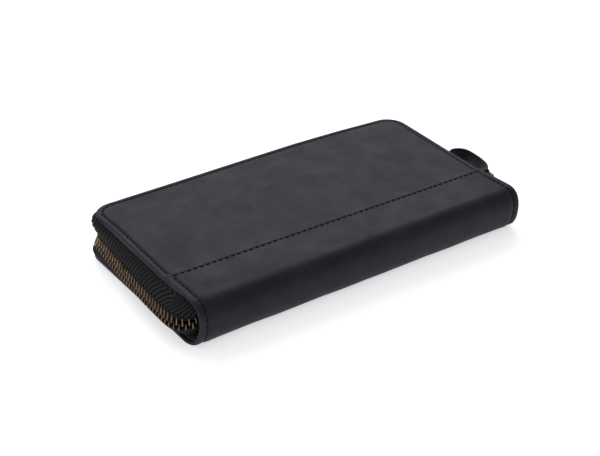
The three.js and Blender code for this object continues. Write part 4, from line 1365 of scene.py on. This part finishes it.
def coin_panel(upper):
    half_name = half_word(upper)
    surface = Surface()
    stitch_x = STACK_HALF_LENGTH - COIN_EDGE_STITCH
    x, y, edge = panel_grid(STACK_HALF_LENGTH, LEAF_SPINE_Y, LEAF_MOUTH_Y, 2.2, (-stitch_x, stitch_x),
                            (LEAF_SPINE_Y + COIN_EDGE_STITCH, LEAF_MOUTH_Y - MOUTH_STITCH))
    low, high = coin_levels(x, y)
    wear_and_shade = 0.4 * hump(edge, 0.5)
    sheet(surface, x, y, low, high, edge, lambda points: on_leaf(points, upper), wear_and_shade=wear_and_shade)
    settle(surface, f"coin_pocket_{half_name}_leather",
           "coin_leaf", "pocket_leather", f"coin_pocket_{half_name}_panel", sharp=60)

    threads = Surface()
    across = np.linspace(-stitch_x, stitch_x, 120)
    down = np.linspace(LEAF_SPINE_Y + COIN_EDGE_STITCH, LEAF_MOUTH_Y - MOUTH_STITCH, 60)
    lines = [(across, np.full(120, down[0])), (across, np.full(120, down[-1]))]
    lines += [(np.full(60, side * stitch_x), down) for side in (-1, 1)]
    for x, y in lines:
        height = coin_levels(x, y)[1] + 0.1
        row = on_leaf(np.column_stack([x, y, height]), upper)
        stitch_row(threads, row, (0, 0, 1 if upper else -1), INNER_PITCH, INNER_THREAD_RADIUS)
    settle_thread(threads, f"coin_pocket_{half_name}_stitches", "coin_leaf", "pocket_leather")


def coin_tape(upper):
    """Half of the coin zip's tape: out of the pocket, over its mouth and down to the teeth."""
    half_name = half_word(upper)
    section = np.concatenate([
        straight((22.5, 0.5), (29.5, 0.5), 10),
        cubic((29.5, 0.5), (32.2, 0.5), (31.6, 3.25), (34.0, 3.2), 16)[1:],
        quadratic((34.0, 3.2), (35.0, 3.2), (35.0, 2.3), 7)[1:],
    ])
    x = np.arange(-85.5, 85.6, 0.45)
    normal = outward_of(section)
    across = distances_along(section)
    phase = (x[:, None] - 0.9 * np.abs(across - 10.5)[None]) / COIN_RIB_PITCH
    rib = ribs(phase) * smooth_step(across[-1], across[-1] - 0.8, across)
    front = section[None] + normal[None] * (0.16 + 0.16 * rib)[..., None]
    back = np.broadcast_to(section - normal * 0.16, front.shape)
    rows = np.concatenate([front, back[:, ::-1]], axis=1)
    rows = np.concatenate([np.broadcast_to(x[:, None, None], (*rows.shape[:2], 1)), rows], axis=2)
    surface = Surface()
    # The rib mask paints shade: light rib tops, dark gaps and back.
    surface.tube(on_leaf(rows, upper), wear_and_shade=np.concatenate([rib, 0 * rib], axis=1))
    aside, high = 0.5 * squircle(8, 1)
    cord = [np.column_stack([np.full(8, end), COIN_CHAIN_Y + aside, 2.0 + high]) for end in (-81, 0, 81)]
    surface.tube(on_leaf(cord, upper))
    settle(surface, f"coin_zip_{half_name}_tape_cloth",
           "coin_leaf", "zip_tape", f"coin_zip_{half_name}_tape", sharp=50)


def coin_teeth(upper):
    half_name = half_word(upper)
    start = 1 - COIN_CHAIN_HALF_LENGTH + (COIN_TOOTH_PITCH / 2 if upper else 0)
    surface = Surface()
    for centre in np.arange(start, COIN_CHAIN_HALF_LENGTH - 1, COIN_TOOTH_PITCH):
        placed = on_leaf(TOOTH * COIN_TOOTH_SCALE + [centre, COIN_CHAIN_Y, 0], upper)
        surface.tube(placed, wear_and_shade=tooth_wear_and_shade(upper))
    settle(surface, f"coin_zip_{half_name}_teeth_metal",
           "coin_leaf", "zip_teeth", f"coin_zip_{half_name}_teeth", sharp=50)


def coin_stops():
    for side, word in ((-1, "left"), (1, "right")):
        surface = Surface()
        block(surface, (side * (COIN_CHAIN_HALF_LENGTH + 3.2), COIN_CHAIN_Y, 0), (0.8, 1.0, 2.1), 0.3)
        surface.points = on_leaf(surface.points).tolist()
        settle(surface, f"coin_zip_{word}_stop_crimp",
               "coin_leaf", "zip_teeth", f"coin_zip_{word}_stop", material="zip_hardware")


def coin_slider():
    surface = Surface()
    middle = (box_mm("coin_slider_body")[0][0] + box_mm("coin_slider_body")[1][0]) / 2
    along_chain, high = squircle(36, 0.6)
    taper = 0.94 + 0.06 * along_chain - 0.06 * along_chain**2
    outline = np.column_stack([4.8 * along_chain, 2.9 * high * taper])
    face = [(1.15, 0.2), (1.25, 0), (1.7, 0), (1.92, 0.15), (2.0, 0.5)]
    standing_plate(surface, outline, face, [0.3, 0.5, 0.9, 1, 0.8])
    back = [(-1.15, 0.2), (-1.25, 0), (-1.7, 0), (-1.95, 0.3)]
    standing_plate(surface, outline * 0.92, back, [0.3, 0.5, 0.8, 0.5])
    for side in (-1, 1):
        block(surface, (1.0, 0, side * 2.45), (0.35, 4.1, 0.35), 0.1)
    block(surface, (0, 4.1, 0), (1.4, 0.5, 0.5), 0.1)
    turn = np.linspace(0, np.pi, 25)
    reach = 2.9 * signed_power(np.cos(turn), 0.6)
    path = np.column_stack([1.9 + 1.95 * np.sin(turn) ** 0.5, reach, np.zeros(25)])
    u, v = squircle(14, 0.5)
    sweep(surface, path, np.column_stack([0.34 * u, 0.7 * v]), wear_and_shade=0.8)
    set_on_leaf(surface, middle, COIN_CHAIN_Y)
    settle(surface, "coin_slider_shell", "coin_slider", "zip_hardware", "coin_slider_body", sharp=40)


def coin_pull():
    """A flat tab with a window that holds the slider's crown."""
    surface = Surface()
    turn = np.linspace(np.pi / 2, 3 * np.pi / 2, 17)
    end = np.column_stack([-9.6 + 2.4 * np.cos(turn), 2.4 * np.sin(turn)])
    outline = np.concatenate([[[-4.4, -2.15], [-4.2, 0], [-4.4, 2.15]], end])
    levels = [(-0.4, 0.25), (-0.28, 0), (0.28, 0), (0.4, 0.25)]
    standing_plate(surface, outline, levels, [0.7, 1, 1, 0.7])
    corners = [(0.6, -1.1), (0.6, 1.1), (0.15, 1.6), (-4.6, 1.7),
               (-4.9, 1.4), (-4.9, -1.4), (-4.6, -1.7), (0.15, -1.6)]
    path = np.column_stack([np.zeros(8), np.array(corners)])
    u, v = squircle(10, 0.7)
    sweep(surface, path, np.column_stack([0.4 * u, 0.4 * v]), up=(1, 0, 0), closed=True, wear_and_shade=0.9)
    set_on_leaf(surface, COIN_PULL_X, COIN_CHAIN_Y + COIN_PULL_OUT)
    settle(surface, "coin_pull_tab", "coin_pull", "zip_hardware", "coin_pull", sharp=40)


def gusset(side, upper):
    """Half of a pleated end wall: from a cover's pockets out, in to its fold, and out to the coin pocket."""
    word = "left" if side < 0 else "right"
    rows = []
    for y in np.linspace(LEAF_SPINE_Y + 1, LEAF_MOUTH_Y - 1.5, 70):
        leaf = top_face(y) / 2
        sewn = top_face(y) - STACK_TOP - 0.45 if upper else STACK_TOP + 0.45
        edge = leaf + (2.4 if upper else -2.4)
        fold = (sewn + edge) / 2
        step = 0.3 if upper else -0.3
        line = [(84.5, sewn), (GUSSET_EDGE, sewn), (GUSSET_EDGE, sewn - step), (GUSSET_FOLD, fold + step),
                (GUSSET_FOLD, fold - step), (GUSSET_EDGE, edge)]
        if not upper:
            line += [(GUSSET_EDGE + 0.3, leaf), (GUSSET_EDGE, leaf + 2.3)]
        dense = resample(line, np.linspace(0, length_of(line), 110))
        padded = np.pad(dense, ((3, 3), (0, 0)), mode="edge")
        smooth = sum(padded[k:k + len(dense)] for k in range(7)) / 7
        normal = outward_of(smooth)
        ring = np.concatenate([smooth + 0.13 * normal, (smooth - 0.13 * normal)[::-1]])
        rows.append(np.column_stack([side * ring[:, 0], np.full(len(ring), y), ring[:, 1]]))
    rows = np.array(rows)
    rows[..., 0] += 0.5 * ripple(rows * [0.2, 1, 3], 9, 7.0)
    surface = Surface()
    surface.tube(rows)
    piece = surface.make(f"gusset_{word}_{half_word(upper)}", MATERIALS["lining_fabric"], sharp=60)
    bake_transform(piece)
    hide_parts("gusset_" + word)


# ------------------------------------------------------------ camera and stage


def add_camera():
    camera = bpy.data.objects.new("camera", bpy.data.cameras.new("camera"))
    bpy.context.scene.collection.objects.link(camera)
    azimuth, elevation = math.radians(CAMERA_AZIMUTH), math.radians(CAMERA_ELEVATION)
    back = Vector((
        math.sin(azimuth) * math.cos(elevation),
        -math.cos(azimuth) * math.cos(elevation),
        math.sin(elevation),
    ))
    camera.location = (Vector(CAMERA_TARGET) + back * CAMERA_DISTANCE) * MM
    turn = back.to_track_quat("Z", "Y").to_matrix().to_4x4()
    turn = turn @ turn.Rotation(math.radians(CAMERA_ROLL), 4, "Z")
    camera.rotation_euler = turn.to_euler()
    camera.data.lens = CAMERA_LENS
    camera.data.sensor_width = 36
    camera.data.clip_start = 0.01
    bpy.context.scene.camera = camera


def add_lamp(name, location, size, power):
    light = bpy.data.lights.new(name, "AREA")
    light.shape = "RECTANGLE"
    light.size, light.size_y = size
    light.energy = power
    lamp = bpy.data.objects.new(name, light)
    bpy.context.scene.collection.objects.link(lamp)
    lamp.location = location
    lamp.rotation_euler = Vector(location).to_track_quat("Z", "Y").to_euler()


def add_world():
    world = bpy.data.worlds.new("studio")
    bpy.context.scene.world = world
    world.use_nodes = True
    background = world.node_tree.nodes["Background"]
    background.inputs["Color"].default_value = (0.95, 0.95, 1.0, 1)
    background.inputs["Strength"].default_value = WORLD_STRENGTH


def add_floor():
    mesh = bpy.data.meshes.new("floor")
    corners = [(x * FLOOR_REACH, y * FLOOR_REACH, 0) for x, y in ((-1, -1), (1, -1), (1, 1), (-1, 1))]
    mesh.from_pydata(corners, [], [(0, 1, 2, 3)])
    floor = bpy.data.objects.new("floor", mesh)
    bpy.context.scene.collection.objects.link(floor)
    floor.location.z = -FLOOR_GAP
    paper = Shader("white_paper")
    glow = {"Emission_Color": (1, 1, 1, 1), "Emission_Strength": FLOOR_GLOW}
    mesh.materials.append(paper.finish((0.93, 0.93, 0.93), 0.9, **glow))


add_camera()
add_world()
add_floor()
for lamp_settings in LAMPS:
    add_lamp(*lamp_settings)
bpy.context.scene.view_settings.view_transform = "Standard"

for is_upper in (False, True):
    cover_leather(is_upper)
    cover_stitches(is_upper)
    zip_tape(is_upper)
    zip_teeth(is_upper)
    tape_bead(is_upper)
    inner_panel(is_upper, "_stiffener_board", "_stiffener", "board", BOARD_INSET, BOARD_SPINE_Y,
                BOARD_LEVELS, HALF_LENGTH, 0.0)
    inner_panel(is_upper, "_lining_cloth", "_lining", "lining_fabric", LINING_INSET, LINING_SPINE_Y,
                LINING_LEVELS, LINING_SPINE_WIDTH, 0.05)
    lining_stitches(is_upper)
    slip_panel(is_upper)
    for pocket_row in range(POCKET_COUNT):
        card_pocket(is_upper, pocket_row)
    pocket_stitches(is_upper)
    coin_panel(is_upper)
    coin_tape(is_upper)
    coin_teeth(is_upper)
    for end_side in (-1, 1):
        gusset(end_side, is_upper)
spine_leather()
spine_stitches()
spine_lining()
zip_slider()
pull_ring()
pull_loop()
zip_stops()
coin_stops()
coin_slider()
coin_pull()

for row in frame["record"]["subparts"]:
    node = frame["nodes"][row["node"]]
    node.data.materials.clear()
    node.data.materials.append(MATERIALS[row["material_slot"]])
